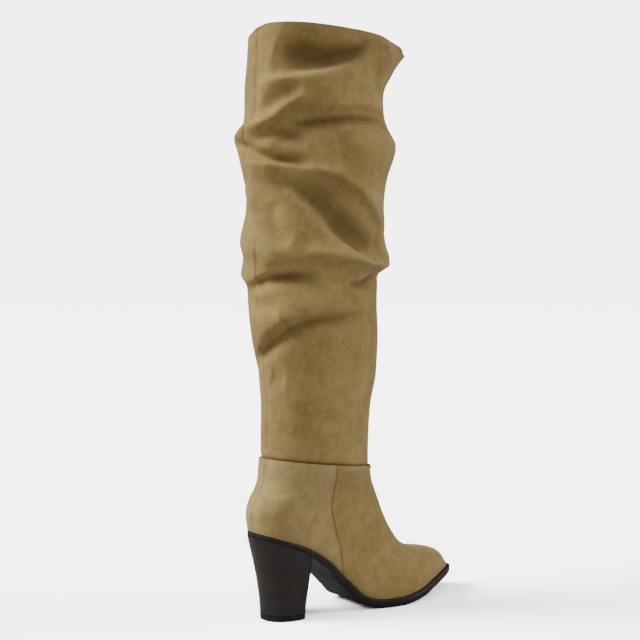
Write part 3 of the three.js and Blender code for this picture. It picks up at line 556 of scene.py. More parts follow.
lining, tree, shader = finish("smooth_lining", Specular_IOR_Level=0.35)
spot = object_place(tree)
pores = node(tree, "TexVoronoi", Vector=spot, Scale=1100.0).outputs[0]
tone = noise(tree, spot, 40, 4)
surface(tree, shader, blend(tree, tone, (0.42, 0.27, 0.13, 1), (0.54, 0.37, 0.20, 1)),
        spread(tree, tone, 0.3, 0.7, 0.5, 0.62), pores, 0.15, 0.0002)
sand_suede = suede("sand_suede", (0.54, 0.385, 0.150, 1), (0.35, 0.232, 0.078, 1))
# the quarter gets a lighter copy of the same suede: painted light, for the stronger light falling on the
# heel's counter
quarter_suede_painted_lighter = suede("sand_suede_quarter_painted_lighter", (0.61, 0.445, 0.192, 1), (0.41, 0.283, 0.108, 1))
for piece, outer_suede in ((vamp, sand_suede), (quarter, quarter_suede_painted_lighter)):
    piece.data.materials.append(outer_suede)
    piece.data.materials.append(lining)
    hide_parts("upper")
    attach(piece, "boot")

# Shaft: a wide suede tube that slouches in soft folds, with a taped seam up its back and a
# zip slot on the inner side. It is lined, turned over at the collar and tucked into the foot.
shaft_inset = 0.0005
shaft_wall = 0.0018
seam_lap = 0.006
fold_depth = 0.010
fold_reach = 0.014
zip_turn = radians(98)
zip_bottom, zip_length, zip_slot_width = 0.018, 0.134, 0.007
folds = [
    # outer side, from the collar down: points round and up, depth, reach above and below, droop
    ([(206, 0.940), (228, 0.924), (250, 0.918), (272, 0.930), (294, 0.952)], -1.05, 1.20, 0.90, 0),
    ([(205, 0.880), (225, 0.886), (248, 0.906), (268, 0.932), (284, 0.956), (296, 0.976)],
     -0.42, 0.60, 0.36, 0),
    ([(190, 0.860), (203, 0.864), (218, 0.868), (245, 0.885), (263, 0.910), (277, 0.936),
      (288, 0.964), (299, 0.992)], 0.74, 0.42, 1.15, 0),
    ([(302, 0.860), (304, 0.930), (308, 1.020)], 0.50, 0.60, 0.70, 0),
    ([(297, 0.870), (296, 0.930), (294, 0.985)], -0.30, 0.40, 0.32, 0),
    ([(200, 0.782), (216, 0.822), (236, 0.852)], -0.60, 0.70, 0.50, 0),
    ([(150, 0.738), (165, 0.750), (179, 0.764), (198, 0.770), (208, 0.787), (218, 0.808),
      (229, 0.828), (240, 0.842)], 0.80, 0.55, 0.55, 0),
    ([(184, 0.734), (198, 0.740), (208, 0.748), (222, 0.740), (238, 0.728)], -0.50, 0.36, 0.50, 0),
    ([(212, 0.744), (262, 0.778), (338, 0.768)], -0.30, 0.85, 0.80, 0),
    ([(218, 0.764), (236, 0.768), (256, 0.778), (291, 0.788), (307, 0.786), (338, 0.774)],
     -0.50, 0.20, 0.42, 0),
    ([(224, 0.806), (256, 0.812), (291, 0.822), (322, 0.812)], 0.40, 1.00, 0.34, 0),
    ([(110, 0.745), (162, 0.735), (214, 0.725)], 0.62, 0.70, 2.70, 0),
    ([(156, 0.738), (182, 0.715), (192, 0.699), (204, 0.690), (219, 0.685), (240, 0.673)],
     -0.66, 0.34, 0.28, 0),
    ([(172, 0.676), (190, 0.678), (211, 0.675), (232, 0.666), (250, 0.658), (272, 0.650)],
     0.40, 0.34, 0.90, 0),
    ([(200, 0.650), (222, 0.632), (238, 0.602), (252, 0.564), (267, 0.526), (284, 0.498),
      (300, 0.484), (316, 0.478)], -0.80, 1.60, 0.55, 0),
    ([(254, 0.552), (270, 0.520), (286, 0.496), (304, 0.482), (318, 0.476)],
     -0.42, 1.20, 0.50, 0),
    ([(312, 0.486), (340, 0.482), (384, 0.474)], 0.62, 1.50, 0.60, 0),
    ([(230, 0.664), (250, 0.656), (267, 0.640), (280, 0.618), (292, 0.592), (308, 0.560),
      (328, 0.534)], 0.55, 0.95, 0.34, 0),
    ([(262, 0.720), (318, 0.748), (372, 0.758)], 1.05, 1.00, 2.00, 0.2),
    ([(196, 0.446), (212, 0.460), (230, 0.466), (252, 0.464), (274, 0.460), (295, 0.452),
      (330, 0.446), (366, 0.450)], 0.34, 0.70, 0.26, 0),
    ([(236, 0.482), (306, 0.452), (366, 0.448)], 0.80, 0.85, 0.40, 0),
    ([(200, 0.416), (258, 0.406), (330, 0.422)], -0.28, 0.60, 0.90, 0),
    ([(160, 0.390), (178, 0.402), (196, 0.414), (212, 0.421), (232, 0.424), (252, 0.416)],
     -0.62, 0.24, 0.52, 0),
    ([(276, 0.402), (290, 0.404), (304, 0.416), (322, 0.432), (338, 0.440)],
     -0.50, 0.22, 0.40, 0),
    ([(172, 0.640), (180, 0.606), (185, 0.560), (197, 0.520), (208, 0.488), (220, 0.460)],
     0.66, 0.62, 0.46, 0),
    ([(203, 0.590), (206, 0.556), (213, 0.522), (224, 0.496)], -0.30, 0.60, 0.50, 0),
    ([(128, 0.520), (180, 0.494), (232, 0.466)], 0.60, 1.50, 0.90, 0.1),
    ([(160, 0.362), (186, 0.358), (214, 0.346)], -0.35, 0.60, 0.60, 0),
    ([(168, 0.232), (184, 0.246), (202, 0.270), (225, 0.303), (246, 0.320), (270, 0.326),
      (292, 0.332)], -0.60, 0.24, 0.62, 0),
    ([(178, 0.270), (200, 0.300), (222, 0.328), (246, 0.342), (276, 0.348)], 0.36, 1.00, 0.36, 0),
    ([(196, 0.196), (203, 0.188), (212, 0.184)], -0.18, 0.70, 0.70, 0),
    ([(282, 0.494), (290, 0.472), (298, 0.452)], -0.26, 0.26, 0.26, 0),
    ([(297, 0.772), (302, 0.754), (307, 0.736)], 0.22, 0.30, 0.30, 0),
    # inner side and front, from the collar down
    ([(30, 0.905), (80, 0.930), (130, 0.880)], -0.50, 1.40, 1.20, 0),
    ([(10, 0.850), (80, 0.822), (150, 0.835)], -0.55, 0.90, 0.80, 0),
    ([(24, 0.690), (90, 0.735), (156, 0.762)], 0.75, 1.00, 0.80, 0.2),
    ([(40, 0.600), (104, 0.645), (162, 0.660)], -0.75, 1.00, 0.90, 0),
    ([(20, 0.575), (80, 0.548), (130, 0.580)], -0.45, 0.80, 0.60, 0),
    ([(0, 0.452), (78, 0.448), (176, 0.416)], 0.80, 1.10, 0.42, 0),
    ([(14, 0.416), (78, 0.410), (160, 0.384)], -0.30, 0.26, 0.60, 0),
    ([(34, 0.662), (70, 0.686), (110, 0.704)], -0.30, 0.30, 0.40, 0),
    ([(50, 0.300), (104, 0.262), (164, 0.190)], -0.42, 0.50, 0.60, 0),
    ([(20, 0.352), (70, 0.318), (130, 0.262)], 0.24, 0.80, 0.40, 0),
]
rim_rows = table(
    "angle rise",
    (0, -0.75), (45, -0.30), (100, -0.05), (140, -0.28), (156, -0.52), (170, -0.48),
    (180, -0.32), (190, -0.14), (202, -0.05), (214, -0.06), (260, -0.28), (285, -0.40),
    (305, -0.82), (322, -1.08),
    (340, -0.92), (360, -0.75),
)
back_seam_rows = table(
    "height turn",
    (-0.04, 0), (0.16, 0), (0.28, -3), (0.40, 1), (0.46, 6), (0.505, 10), (0.56, 1),
    (0.64, -7), (0.72, -6), (0.80, 4), (1.00, 3),
)
fold_radius = (calf_length + calf_width) / 4


def fold_lift(angle, height):
    """How far the folds raise the shaft's surface, and how far it hangs down"""
    turn = np.mod(angle, 2 * pi) * fold_radius
    lift, drop = np.zeros(height.shape), np.zeros(height.shape)
    for points, depth, above, below, droop in folds:
        ends = np.array(points) * [radians(fold_radius), shaft_height] + [0, seam_back]
        ends = {"x": ends[:, 0], "y": ends[:, 1], "n": np.arange(len(ends), dtype=float)}
        knots = np.linspace(0, len(points) - 1, 4 * len(points) + 1)
        chain = np.stack([along(ends, "n", "x", knots), along(ends, "n", "y", knots)], -1)
        step = np.diff(chain, axis=0)
        margin = 2.6 * fold_reach * max(above, below)
        low, high = chain.min(axis=0) - margin, chain.max(axis=0) + margin
        for lap in (-1, 0, 1):
            here = turn + lap * 2 * pi * fold_radius
            near = (here > low[0]) & (here < high[0]) & (height > low[1]) & (height < high[1])
            if not near.any():
                continue
            at = np.stack([here[near], height[near]], -1)[:, None]
            reach = ((at - chain[:-1]) * step).sum(-1) / (step**2).sum(-1)
            share = np.clip(reach, 0, 1)
            off = at - chain[:-1] - share[..., None] * step
            distance = np.linalg.norm(off, axis=-1)
            best = np.argmin(distance, axis=1)
            rows = np.arange(len(best))
            where = (best + share[rows, best]) / len(step)
            side = step[best, 0] * off[rows, best, 1] - step[best, 1] * off[rows, best, 0]
            reach_to = np.where(side > 0, above, below) * fold_reach
            fade = np.exp(-((distance[rows, best] / reach_to) ** 2))
            amount = depth * fold_depth * (1 - (2 * where - 1) ** 4) * fade
            lift[near] += amount
            drop[near] += np.maximum(0, amount) * droop
    return lift, drop


def slouched(place, angle, at, half, x, y, z):
    """The shaft's surface with its folds and its wavy collar"""
    place, angle, x, y, z, half = np.broadcast_arrays(place, angle, x, y, z, half)
    long = np.broadcast_to((at["front_x"] - at["back_x"]) / 2, place.shape)
    out_x, out_y = np.cos(angle) * half, np.sin(angle) * long
    size = np.hypot(out_x, out_y)
    lift, drop = fold_lift(angle, z)
    near = np.maximum(0, 1 - (collar - place) / 3)
    turn = np.degrees(np.mod(angle, 2 * pi))
    rim = along(rim_rows, "angle", "rise", turn) * fold_reach * near**2
    on = place > ankle
    moved = (x + lift * out_x / size, y + lift * out_y / size, z - drop * (1 - near) + rim)
    return [np.where(on, new, old) for new, old in zip(moved, (x, y, z))]


fold_sheets.append(slouched)


def millimetre_turn(place, angle):
    """Turn that makes one metre along the skin"""
    ahead, behind = form(place, angle + 0.02), form(place, angle - 0.02)
    return 0.04 / np.linalg.norm(ahead - behind, axis=-1)


def back_seam_angle(place):
    share = (along(sections, "place", "back_z", place) - seam_back) / shaft_height
    return pi + np.radians(along(back_seam_rows, "height", "turn", share))


def place_over_seam(height):
    places = np.linspace(ankle, collar, 4000)
    return np.interp(seam_back + height, along(sections, "place", "back_z", places), places)


zip_start, zip_end = place_over_seam(zip_bottom), place_over_seam(zip_bottom + zip_length)
strip_marks = back_seam_width * np.array([0, 0.16, 0.30, 0.40, 0.5])
strip_raise = back_seam_height * np.array([0.55, 1.0, 1.0, 0.75, 0])
outer_columns, slot_columns, inner_columns = 156, 4, 44
low_rows, slot_rows, high_rows = 12, 84, 168
lining_low, lining_slot, lining_high = 4, 28, 44
tuck_rows, tuck_lining_rows = 4, 2
rim_roll = 0.0011


def shaft_turns(places):
    """Angles of the shaft's columns at each place. They follow the back seam and the zip slot"""
    seam = back_seam_angle(places)
    seam_step = millimetre_turn(places, seam)
    zip_half = zip_slot_width / 2 * millimetre_turn(places, np.full(places.shape, zip_turn))
    marks = strip_marks[None] * seam_step[:, None]
    start = seam[:, None] + marks
    end = seam[:, None] + 2 * pi - marks[:, ::-1]
    fore, aft = 2 * pi + zip_turn - zip_half, 2 * pi + zip_turn + zip_half
    parts = [
        start,
        np.linspace(start[:, -1], fore, outer_columns + 1, axis=1)[:, 1:],
        np.linspace(fore, aft, slot_columns + 1, axis=1)[:, 1:],
        np.linspace(aft, end[:, 0], inner_columns + 1, axis=1)[:, 1:],
        end[:, 1:],
    ]
    return np.concatenate(parts, axis=1)


def shaft_places(low, slot, high):
    """Places of rows below, beside and over the zip slot"""
    return np.concatenate([
        np.linspace(ankle, zip_start, low + 1)[:-1],
        np.linspace(zip_start, zip_end, slot + 1)[:-1],
        np.linspace(zip_end, collar, high + 1),
    ])


seam_from = place_x(0.0636)


def tucked(angle_row, depth, count):
    """Rows of the shaft inside the foot part, from its cut edge up to the ankle"""
    places = np.linspace(ankle - 5, ankle, 101)
    points = form(places[:, None], angle_row[None])
    slope = (seam_back - seam_front) / ankle_length
    over = points[..., 2] - seam_back + (points[..., 0] - seam_from) * slope + seam_lap
    start = np.array([np.interp(0, over[:, i], places) for i in range(len(angle_row))])
    rows = [start + (ankle - start) * t for t in np.linspace(0, 1, count + 1)[:-1]]
    return skin(np.array(rows), angle_row[None], depth)


row_heights = shaft_places(low_rows, slot_rows, high_rows)
turns = shaft_turns(row_heights)
seam_pinch, pinch_reach = 0.0011, 0.0026
above_seam = along(sections, "place", "back_z", row_heights) - seam_back
pinch = seam_pinch * np.exp(-((above_seam / pinch_reach) ** 2))
raised = np.zeros(turns.shape[1])
raised[:5], raised[-5:] = strip_raise, strip_raise[::-1]
grown = np.clip((row_heights - ankle - 0.8) / 0.4, 0, 1)
outside = skin(row_heights[:, None], turns,
               shaft_inset + pinch[:, None] - raised[None] * grown[:, None])
lift, drop = fold_lift(turns, np.broadcast_to(
    along(sections, "place", "back_z", row_heights)[:, None], turns.shape))
# the lining passes under the narrow creases, so it stays behind the outer suede
floor_lift = lift.copy()
for _ in range(3):
    for way in (0, 1):
        beside = [np.roll(floor_lift, step, axis=way) for step in (-1, 0, 1)]
        floor_lift = np.min(beside, axis=0)
    floor_lift[:, [0, -1]] = floor_lift[:, [0, -1]].min(axis=1, keepdims=True)
lining_places = shaft_places(lining_low, lining_slot, lining_high)
pocket = np.stack([np.interp(lining_places, row_heights, column)
                   for column in (lift - floor_lift).T], -1)
under_collar = lining_places <= collar - 0.2
lining_depth = np.interp(lining_places, row_heights, pinch)[:, None] + under_collar[:, None] * pocket
inside = skin(lining_places[:, None], shaft_turns(lining_places),
              shaft_inset + shaft_wall + lining_depth)
tuck_out = tucked(turns[0], shaft_inset + seam_pinch, tuck_rows)
tuck_in = tucked(turns[0], shaft_inset + seam_pinch + shaft_wall, tuck_lining_rows)
edge_middle, edge_half = (outside[-1] + inside[-1]) / 2, (outside[-1] - inside[-1]) / 2
edge_up = np.array([0, 0, rim_roll])
collar_edge = np.array([edge_middle + edge_half * cos(radians(t)) + edge_up * sin(radians(t))
                        for t in (25, 50, 75, 105, 130, 155)])
shell = np.concatenate([tuck_out, outside, collar_edge, inside[::-1], tuck_in[::-1],
                        tuck_out[:1]])
shaft, shaft_row, shaft_column = sheet("shaft_suede", shell)

# the fold attribute carries the folds' lift and the pinch at the ankle seam; the suede paints shade
# where it is low, along that seam too, and a highlight where it is high
crease = np.zeros(shell.shape[:2])
of_outside = slice(len(tuck_out), len(tuck_out) + len(outside))
crease[of_outside] = lift / fold_depth - pinch[:, None] / seam_pinch
fold_mark = shaft.data.attributes.new("fold", "FLOAT", "POINT")
fold_mark.data.foreach_set("value", crease[shaft_row, shaft_column].astype(np.float32))

face_count = shell.shape[1] - 1
face_row = np.arange(len(shaft.data.polygons)) // face_count
face_column = np.arange(len(shaft.data.polygons)) % face_count
slot_from = 4 + outer_columns
in_slot = (face_column >= slot_from) & (face_column < slot_from + slot_columns)
out_from = len(tuck_out) + low_rows
in_from = len(tuck_out) + len(outside) + len(collar_edge) + lining_high
beside = ((face_row >= out_from) & (face_row < out_from + slot_rows)) | (
    (face_row >= in_from) & (face_row < in_from + lining_slot))
lined = face_row >= len(tuck_out) + len(outside) + len(collar_edge) - 1
shaft.data.polygons.foreach_set("material_index", lined.astype(np.int32))
select_faces(shaft, in_slot & beside)
in_edit_mode(shaft, lambda: bpy.ops.mesh.delete(type="FACE"))


def close_shaft():
    bpy.ops.mesh.select_all(action="SELECT")
    bpy.ops.mesh.remove_doubles(threshold=2e-6)
    bpy.ops.mesh.select_all(action="DESELECT")
    bpy.ops.mesh.select_mode(type="EDGE")
    bpy.ops.mesh.select_non_manifold(extend=False, use_wire=False, use_multi_face=False,
                                     use_non_contiguous=False, use_verts=False)
    bpy.ops.mesh.bridge_edge_loops()


in_edit_mode(shaft, close_shaft)
only_selected(shaft)
bpy.ops.object.shade_smooth_by_angle(angle=radians(60))
shaft.data.materials.append(sand_suede)
shaft.data.materials.append(lining)
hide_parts("shaft")
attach(shaft, "boot")

# Outsole: one thin moulded sole from the toe to the heel seat, near black, with a narrow
# reddish lip where it meets the suede. It stands out round the forefoot and is flush at the back.
sole_ledge = 0.0030

outline = []
for side in (-1, 1):
    line = skin(feather_places[on_sole], side * feather_turn[side][on_sole],
                -foot_wall - vamp_step)[:, :2]
    outline.append(line[::-1] if side < 0 else line)
last_edge, first_edge = outline[0][-1], outline[1][0]
nose_middle = (last_edge + first_edge) / 2
nose_reach = place_x(toe_tip) + foot_wall + vamp_step - nose_middle[0]
nose_half = (first_edge - last_edge)[1] / 2
nose_turns = np.linspace(0.1, pi / 2, 14)
nose = [nose_middle + [nose_reach * sin(turn), side * nose_half * toe_shrink(sin(turn))]
        for side, way in ((-1, nose_turns), (1, nose_turns[-2::-1])) for turn in way]
outline = np.concatenate([outline[0], np.array(nose), outline[1]])
ahead = np.roll(outline, -1, axis=0) - np.roll(outline, 1, axis=0)
ahead /= np.linalg.norm(ahead, axis=1, keepdims=True)
ledge = joint_gap + along(sole_rows, "x", "ledge", share_x(outline[:, 0])) * sole_ledge
outline = outline + np.stack([ahead[:, 1], -ahead[:, 0]], -1) * ledge[:, None]
rear = int(np.argmin(outline[:, 0]))
outline = np.roll(outline, -rear, axis=0)
tip_at = int(np.argmax(outline[:, 0]))
outer_edge, inner_edge = outline[:tip_at + 1], outline[tip_at:][::-1]
back_end, toe_end = outline[:, 0].min(), outline[:, 0].max()
station_turns = np.linspace(0.012, pi - 0.012, 170)
stations = (back_end + toe_end) / 2 - np.cos(station_turns) * (toe_end - back_end) / 2
outer_y = np.interp(stations, np.maximum.accumulate(outer_edge[:, 0]), outer_edge[:, 1])
inner_y = np.interp(stations, np.maximum.accumulate(inner_edge[:, 0]), inner_edge[:, 1])
wall_profile = table(
    "inset drop",
    (1.60, 0.00), (0.55, 0.00), (0.15, 0.03), (0.00, 0.08), (0.00, 0.17), (0.12, 0.20),
    (0.30, 0.22), (0.30, 0.25), (0.12, 0.28), (0.05, 0.34), (0.10, 0.50), (0.25, 0.70),
    (0.50, 0.86), (1.00, 0.95), (1.90, 1.00),
)
rounding = np.interp(share_x(stations), [0.30, 0.50], [0.0003, 0.001])[:, None]
top_z, under_z = sole_top(stations)[:, None], sole_under(stations)[:, None]
half_width = (inner_y - outer_y)[:, None] / 2
inset = np.minimum(wall_profile["inset"][None] * rounding, 0.8 * half_width)
wall_z = top_z + (under_z - top_z) * wall_profile["drop"][None]
inner_wall, outer_wall = (
    np.stack(np.broadcast_arrays(stations[:, None], edge_y, wall_z), -1)
    for edge_y in (inner_y[:, None] - inset, outer_y[:, None] + inset))
sole_columns = 12


def across(start, end, count):
    """Points between two edges of the sole"""
    shares = np.linspace(0, 1, count + 1)[1:-1]
    return start[:, None] + (end - start)[:, None] * shares[None, :, None]


ring = np.concatenate([
    inner_wall[:, ::-1], across(inner_wall[:, 0], outer_wall[:, 0], sole_columns),
    outer_wall, across(outer_wall[:, -1], inner_wall[:, -1], sole_columns),
    inner_wall[:, -1:],
], axis=1)
outsole, _, _ = sheet("outsole_moulded", ring)
walls = len(wall_profile["inset"])
column_of_face = np.arange(len(outsole.data.polygons)) % (ring.shape[1] - 1)
# the lip is the first five faces down each wall
across_from = walls + sole_columns - 1
lip_columns = [*range(walls - 6, walls - 1), *range(across_from, across_from + 5)]
outsole.data.polygons.foreach_set(
    "material_index", np.isin(column_of_face, lip_columns).astype(np.int32))


def join_seams():
    bpy.ops.mesh.select_all(action="SELECT")
    bpy.ops.mesh.remove_doubles(threshold=4e-6)


in_edit_mode(outsole, join_seams)
in_edit_mode(outsole, lambda: bpy.ops.mesh.fill_holes(sides=0))
in_edit_mode(outsole, lambda: bpy.ops.mesh.normals_make_consistent(inside=False))
only_selected(outsole)
bpy.ops.object.shade_smooth_by_angle(angle=radians(45))


def moulded_black(name, dark, light, roughness):
    """Dark rubber or edge paint: faint clouds, fine scuffs and a slightly uneven gloss"""
    made, tree, shader = finish(name, Specular_IOR_Level=0.4)
    spot = object_place(tree)
    clouds = noise(tree, spot, 70, 4)
    scuffs = noise(tree, stretched(tree, spot, (260, 260, 1500)), 1.0, 3, 0.6)
    colour = blend(tree, spread(tree, clouds, 0.35, 0.7), dark, light)
    colour = blend(tree, spread(tree, scuffs, 0.62, 0.75, 0, 0.35), colour, (0.06, 0.05, 0.045, 1))
    rough = spread(tree, scuffs, 0.3, 0.8, roughness - 0.08, roughness + 0.12)
    surface(tree, shader, colour, rough, scuffs, 0.12, 0.0003)
    return made


for paint_name, dark, light, roughness in (
    ("sole_black", (0.016, 0.014, 0.0135, 1), (0.024, 0.021, 0.020, 1), 0.48),
    ("sole_lip", (0.040, 0.016, 0.010, 1), (0.055, 0.024, 0.015, 1), 0.42),
):
    outsole.data.materials.append(moulded_black(paint_name, dark, light, roughness))
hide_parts("outsole")
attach(outsole, "boot")

# Stacked block heel: a hard core covered in thin stained leather layers, waxed to a satin, that
# widens upwards to the seat. A rubber top piece is nailed under it.
heel_rows_up = table(
    "height back breast width",
    (0.00, 0.0675, 0.0725, 0.306),
    (0.14, 0.0690, 0.0745, 0.320),
    (0.40, 0.0793, 0.0823, 0.362),
    (0.64, 0.0960, 0.0891, 0.402),
    (0.80, 0.1097, 0.0920, 0.425),
    (1.00, 0.1250, 0.0930, 0.443),
    (1.12, 0.1310, 0.0930, 0.447),
)
top_piece = 0.005
heel_sides = 128


def heel_ring(height, shares):
    """Outline of the heel at a height, anticlockwise from the middle of its flat breast"""
    at = {name: along(heel_rows_up, "height", name, height / heel_height) for name in heel_rows_up}
    back, breast = -at["back"] * foot_length, at["breast"] * foot_length
    half = at["width"] * ball_width
    middle = breast - 0.4 * half
    turn = shares * 2 * pi
    c, s = np.cos(turn), np.sin(turn)
    x = middle + np.sign(c) * np.abs(c) ** 0.9 * (middle - back)
    y = np.sign(s) * np.abs(s) ** 0.9 * half
    reach = breast - middle
    square = (np.abs(c) ** 7 + np.abs(s) ** 7) ** (-1 / 7)
    front_x, front_y = middle + reach * np.minimum(1, c * square), half * np.clip(s * square, -1, 1)
    ahead = c > 0
    front_y = np.where(np.abs(front_y) > 0, np.sign(front_y) * np.minimum(np.abs(front_y), half * (
        1 - 0.06 * np.clip((front_x - middle) / reach, 0, 1) ** 2)), 0)
    return np.where(ahead, front_x, x), np.where(ahead, front_y, y)


def heel_body(name, rise, edge, top=None):
    """Closed heel from rows of outlines, with both ends turned in over a small edge"""
    shares = np.linspace(0, 1, heel_sides + 1)
    rows = []
    for share in rise:
        height = np.full(shares.shape, share if top is None else top[0] + share * (top[1] - top[0]))
        for _ in range(0 if top is None else 12):
            limit = sole_under(heel_ring(height, shares)[0]) - joint_gap
            height = top[0] + share * (limit - top[0])
        x, y = heel_ring(height, shares)
        rows.append(np.stack([x, y, height], -1))

    def turned(row, inset, step):
        middle = np.array([row[:, 0].mean(), 0, 0])
        flat = row - middle
        size = np.hypot(flat[:, 0], flat[:, 1])[:, None]
        shrunk = flat * (1 - inset / np.maximum(size, 1e-6)) + middle
        shrunk[:, 2] = row[:, 2] + step
        return shrunk

    first, last = rows[0], rows[-1]
    rows[0] = turned(first, 0, edge)
    centre_low = np.array([first[:, 0].mean(), 0, first[:, 2].mean()])
    centre_high = np.array([last[:, 0].mean(), 0, last[:, 2].mean()])
    low = [centre_low + (turned(first, edge, 0) - centre_low) * t for t in (0, 0.5, 1)]
    low.append(turned(first, 0.3 * edge, 0.3 * edge))
    high = [centre_high + (last - centre_high) * t for t in (1, 0.96, 0.75, 0.5, 0.25, 0)]
    if top is not None:
        for row in high[1:]:
            row[:, 2] = sole_under(row[:, 0]) - joint_gap
    grid = np.array(low + rows + high[1:])
    piece, _, _ = sheet(name, grid)
    in_edit_mode(piece, join_seams)
    only_selected(piece)
    bpy.ops.object.shade_smooth_by_angle(angle=radians(40))
    return piece


heel = heel_body("heel_stack", np.linspace(0, 1, 60), 0.0003, (top_piece + joint_gap, heel_height))
tip = heel_body("heel_top_piece", np.linspace(0, top_piece, 6), 0.0005)

stack, tree, shader = finish("stacked_leather", Specular_IOR_Level=0.5, Coat_Weight=0.12,
                             Coat_Roughness=0.25)
spot = object_place(tree)
parts = node(tree, "SeparateXYZ", i0=spot)
layer_height, line_height = 0.0028, 0.00022
bent = maths(tree, "MULTIPLY_ADD", noise(tree, spot, 60, 2), 0.0006, parts.outputs[2])
line = spread(tree, maths(tree, "PINGPONG", bent, layer_height / 2), 0.0, line_height, 1.0, 0.0)
which = maths(tree, "SNAP", bent, layer_height)
shade = node(tree, "TexWhiteNoise", {"noise_dimensions": "1D"}, W=which).outputs[0]
fibre = noise(tree, stretched(tree, spot, (120, 120, 1600)), 1.0, 4, 0.6)
tint = maths(tree, "MULTIPLY_ADD", shade, 0.5, maths(tree, "MULTIPLY", fibre, 0.5))
colour = blend(tree, tint, (0.014, 0.0105, 0.0085, 1), (0.036, 0.026, 0.020, 1))
colour = blend(tree, maths(tree, "MULTIPLY", line, 0.55), colour, (0.006, 0.005, 0.004, 1))
rough = spread(tree, fibre, 0.3, 0.7, 0.30, 0.46)
height = maths(tree, "SUBTRACT", maths(tree, "MULTIPLY", fibre, 0.25), line)
surface(tree, shader, colour, rough, height, 0.25, 0.0002)
heel.data.materials.append(stack)
tip.data.materials.append(moulded_black(
    "top_piece_black", (0.010, 0.009, 0.009, 1), (0.020, 0.018, 0.017, 1), 0.55))
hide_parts("heel_block")
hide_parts("heel_tip")
for piece in (heel, tip):
    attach(piece, "boot")

# Seams: fine waxed thread, one row along the ankle seam, one along the vamp's edge, two up the
# back strip, one round the collar and one round the zip, each stitch sunk a little in the nap.
thread_width = 0.00058
stitch_pitch, stitch_share = 0.0031, 0.78
thread_sunk = 0.00012
under_edge = 0.0028
beside_side_seam, beside_back_seam, beside_slot = 0.0021, 0.0017, 0.0022
thread, tree, shader = finish("sand_thread", Specular_IOR_Level=0.3, Roughness=0.6)
spot = object_place(tree)
twist = node(tree, "TexWave", {"bands_direction": "DIAGONAL"}, Vector=spot, Scale=900.0,
             Distortion=1.0).outputs[0]
surface(tree, shader, blend(tree, twist, (0.46, 0.33, 0.15, 1), (0.66, 0.50, 0.27, 1)), None, twist,
        0.2, 0.0001)


def stitch_row(name, path):
    """A row of stitches along points on the skin"""
    curve = bpy.data.curves.new(name + "_path", "CURVE")
    curve.dimensions = "3D"
    line = curve.splines.new("POLY")
    line.points.add(len(path) - 1)
    for point, at in zip(line.points, path):
        point.co = (*at, 1)
    guide = bpy.data.objects.new(name + "_path", curve)
    bpy.context.scene.collection.objects.link(guide)
    length = np.linalg.norm(np.diff(path, axis=0), axis=1).sum()
    bpy.ops.object.select_all(action="DESELECT")
    bpy.ops.mesh.primitive_uv_sphere_add(segments=6, ring_count=5, radius=0.5)
    row = bpy.context.object
    row.name = row.data.name = name
    in_edit_mode(row, lambda: bpy.ops.transform.rotate(
        value=pi / 2, orient_axis="Y", center_override=(0, 0, 0)))
    in_edit_mode(row, lambda: bpy.ops.transform.resize(
        value=(stitch_share * stitch_pitch, thread_width, thread_width), center_override=(0, 0, 0)))
    in_edit_mode(row, lambda: bpy.ops.transform.translate(value=(stitch_pitch / 2, 0, 0)))
    add_modifier(row, "ARRAY", count=int(length / stitch_pitch), use_relative_offset=False,
                 use_constant_offset=True, constant_offset_displace=(stitch_pitch, 0, 0))
    add_modifier(row, "CURVE", object=guide, deform_axis="POS_X")
    bpy.ops.object.shade_smooth()
    bpy.data.objects.remove(guide)
    row.data.materials.append(thread)
    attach(row, "boot")


at_quarter = foot_grid(-foot_wall + thread_sunk)
at_vamp = foot_grid(-foot_wall - vamp_step + thread_sunk)
seam_slope = (seam_back - seam_front) / ankle_length
row = []
for column in range(2, at_quarter.shape[1] - 2):
    for grid in (at_quarter, at_vamp):
        line = grid[-60:, column]
        over = line[:, 2] - seam_back + (line[:, 0] - seam_from) * seam_slope + under_edge
        i = int(np.argmax(over > 0))
        t = -over[i - 1] / (over[i] - over[i - 1])
        point = line[i - 1] + (line[i] - line[i - 1]) * t
        if (point[0] > np.interp(point[2], side_seam_z, side_seam_x)) == (grid is at_vamp):
            row.append(point)
stitch_row("ankle_stitches", np.array(row))
for label, grid in (("outer", at_vamp[:, :half_columns]), ("inner", at_vamp[:, half_columns:])):
    cloud = grid[60:].reshape(-1, 3)
    row = []
    for z in np.linspace(0.0205, 0.1335, 90):
        x = np.interp(z, side_seam_z, side_seam_x) + beside_side_seam
        away = np.hypot(cloud[:, 0] - x, cloud[:, 2] - z)
        close = np.argsort(away)[:12]
        if away[close[2]] > 0.0025:
            continue
        near = cloud[close]
        plane = np.stack([np.ones(len(near)), near[:, 0] - x, near[:, 2] - z], -1)
        row.append((x, np.linalg.lstsq(plane, near[:, 1], rcond=None)[0][0], z))
    stitch_row("side_stitches_" + label, np.array(row))
strip_places = np.linspace(ankle + 1.3, collar - 0.03, 420)
for label, offset in (("outer", beside_back_seam), ("inner", -beside_back_seam)):
    middle = back_seam_angle(strip_places)
    turn = middle + offset * millimetre_turn(strip_places, middle)
    stitch_row("back_stitches_" + label, skin(
        strip_places, turn, np.full(420, shaft_inset - back_seam_height + thread_sunk)))
    heel_places = np.linspace(closed_at + 0.35, ankle - 0.25, 60)
    turn = pi + offset * millimetre_turn(heel_places, np.full(60, pi))
    stitch_row("heel_stitches_" + label, skin(
        heel_places, turn, np.full(60, -foot_wall - back_seam_height + thread_sunk)))
rim_turns = np.linspace(0, 2 * pi, 361)
stitch_row("collar_stitches", skin(
    np.full(361, collar - 0.10), back_seam_angle(np.array(collar)) + 0.05 + rim_turns * 0.984,
    np.full(361, shaft_inset + thread_sunk)))
beside_zip = zip_slot_width / 2 + beside_slot
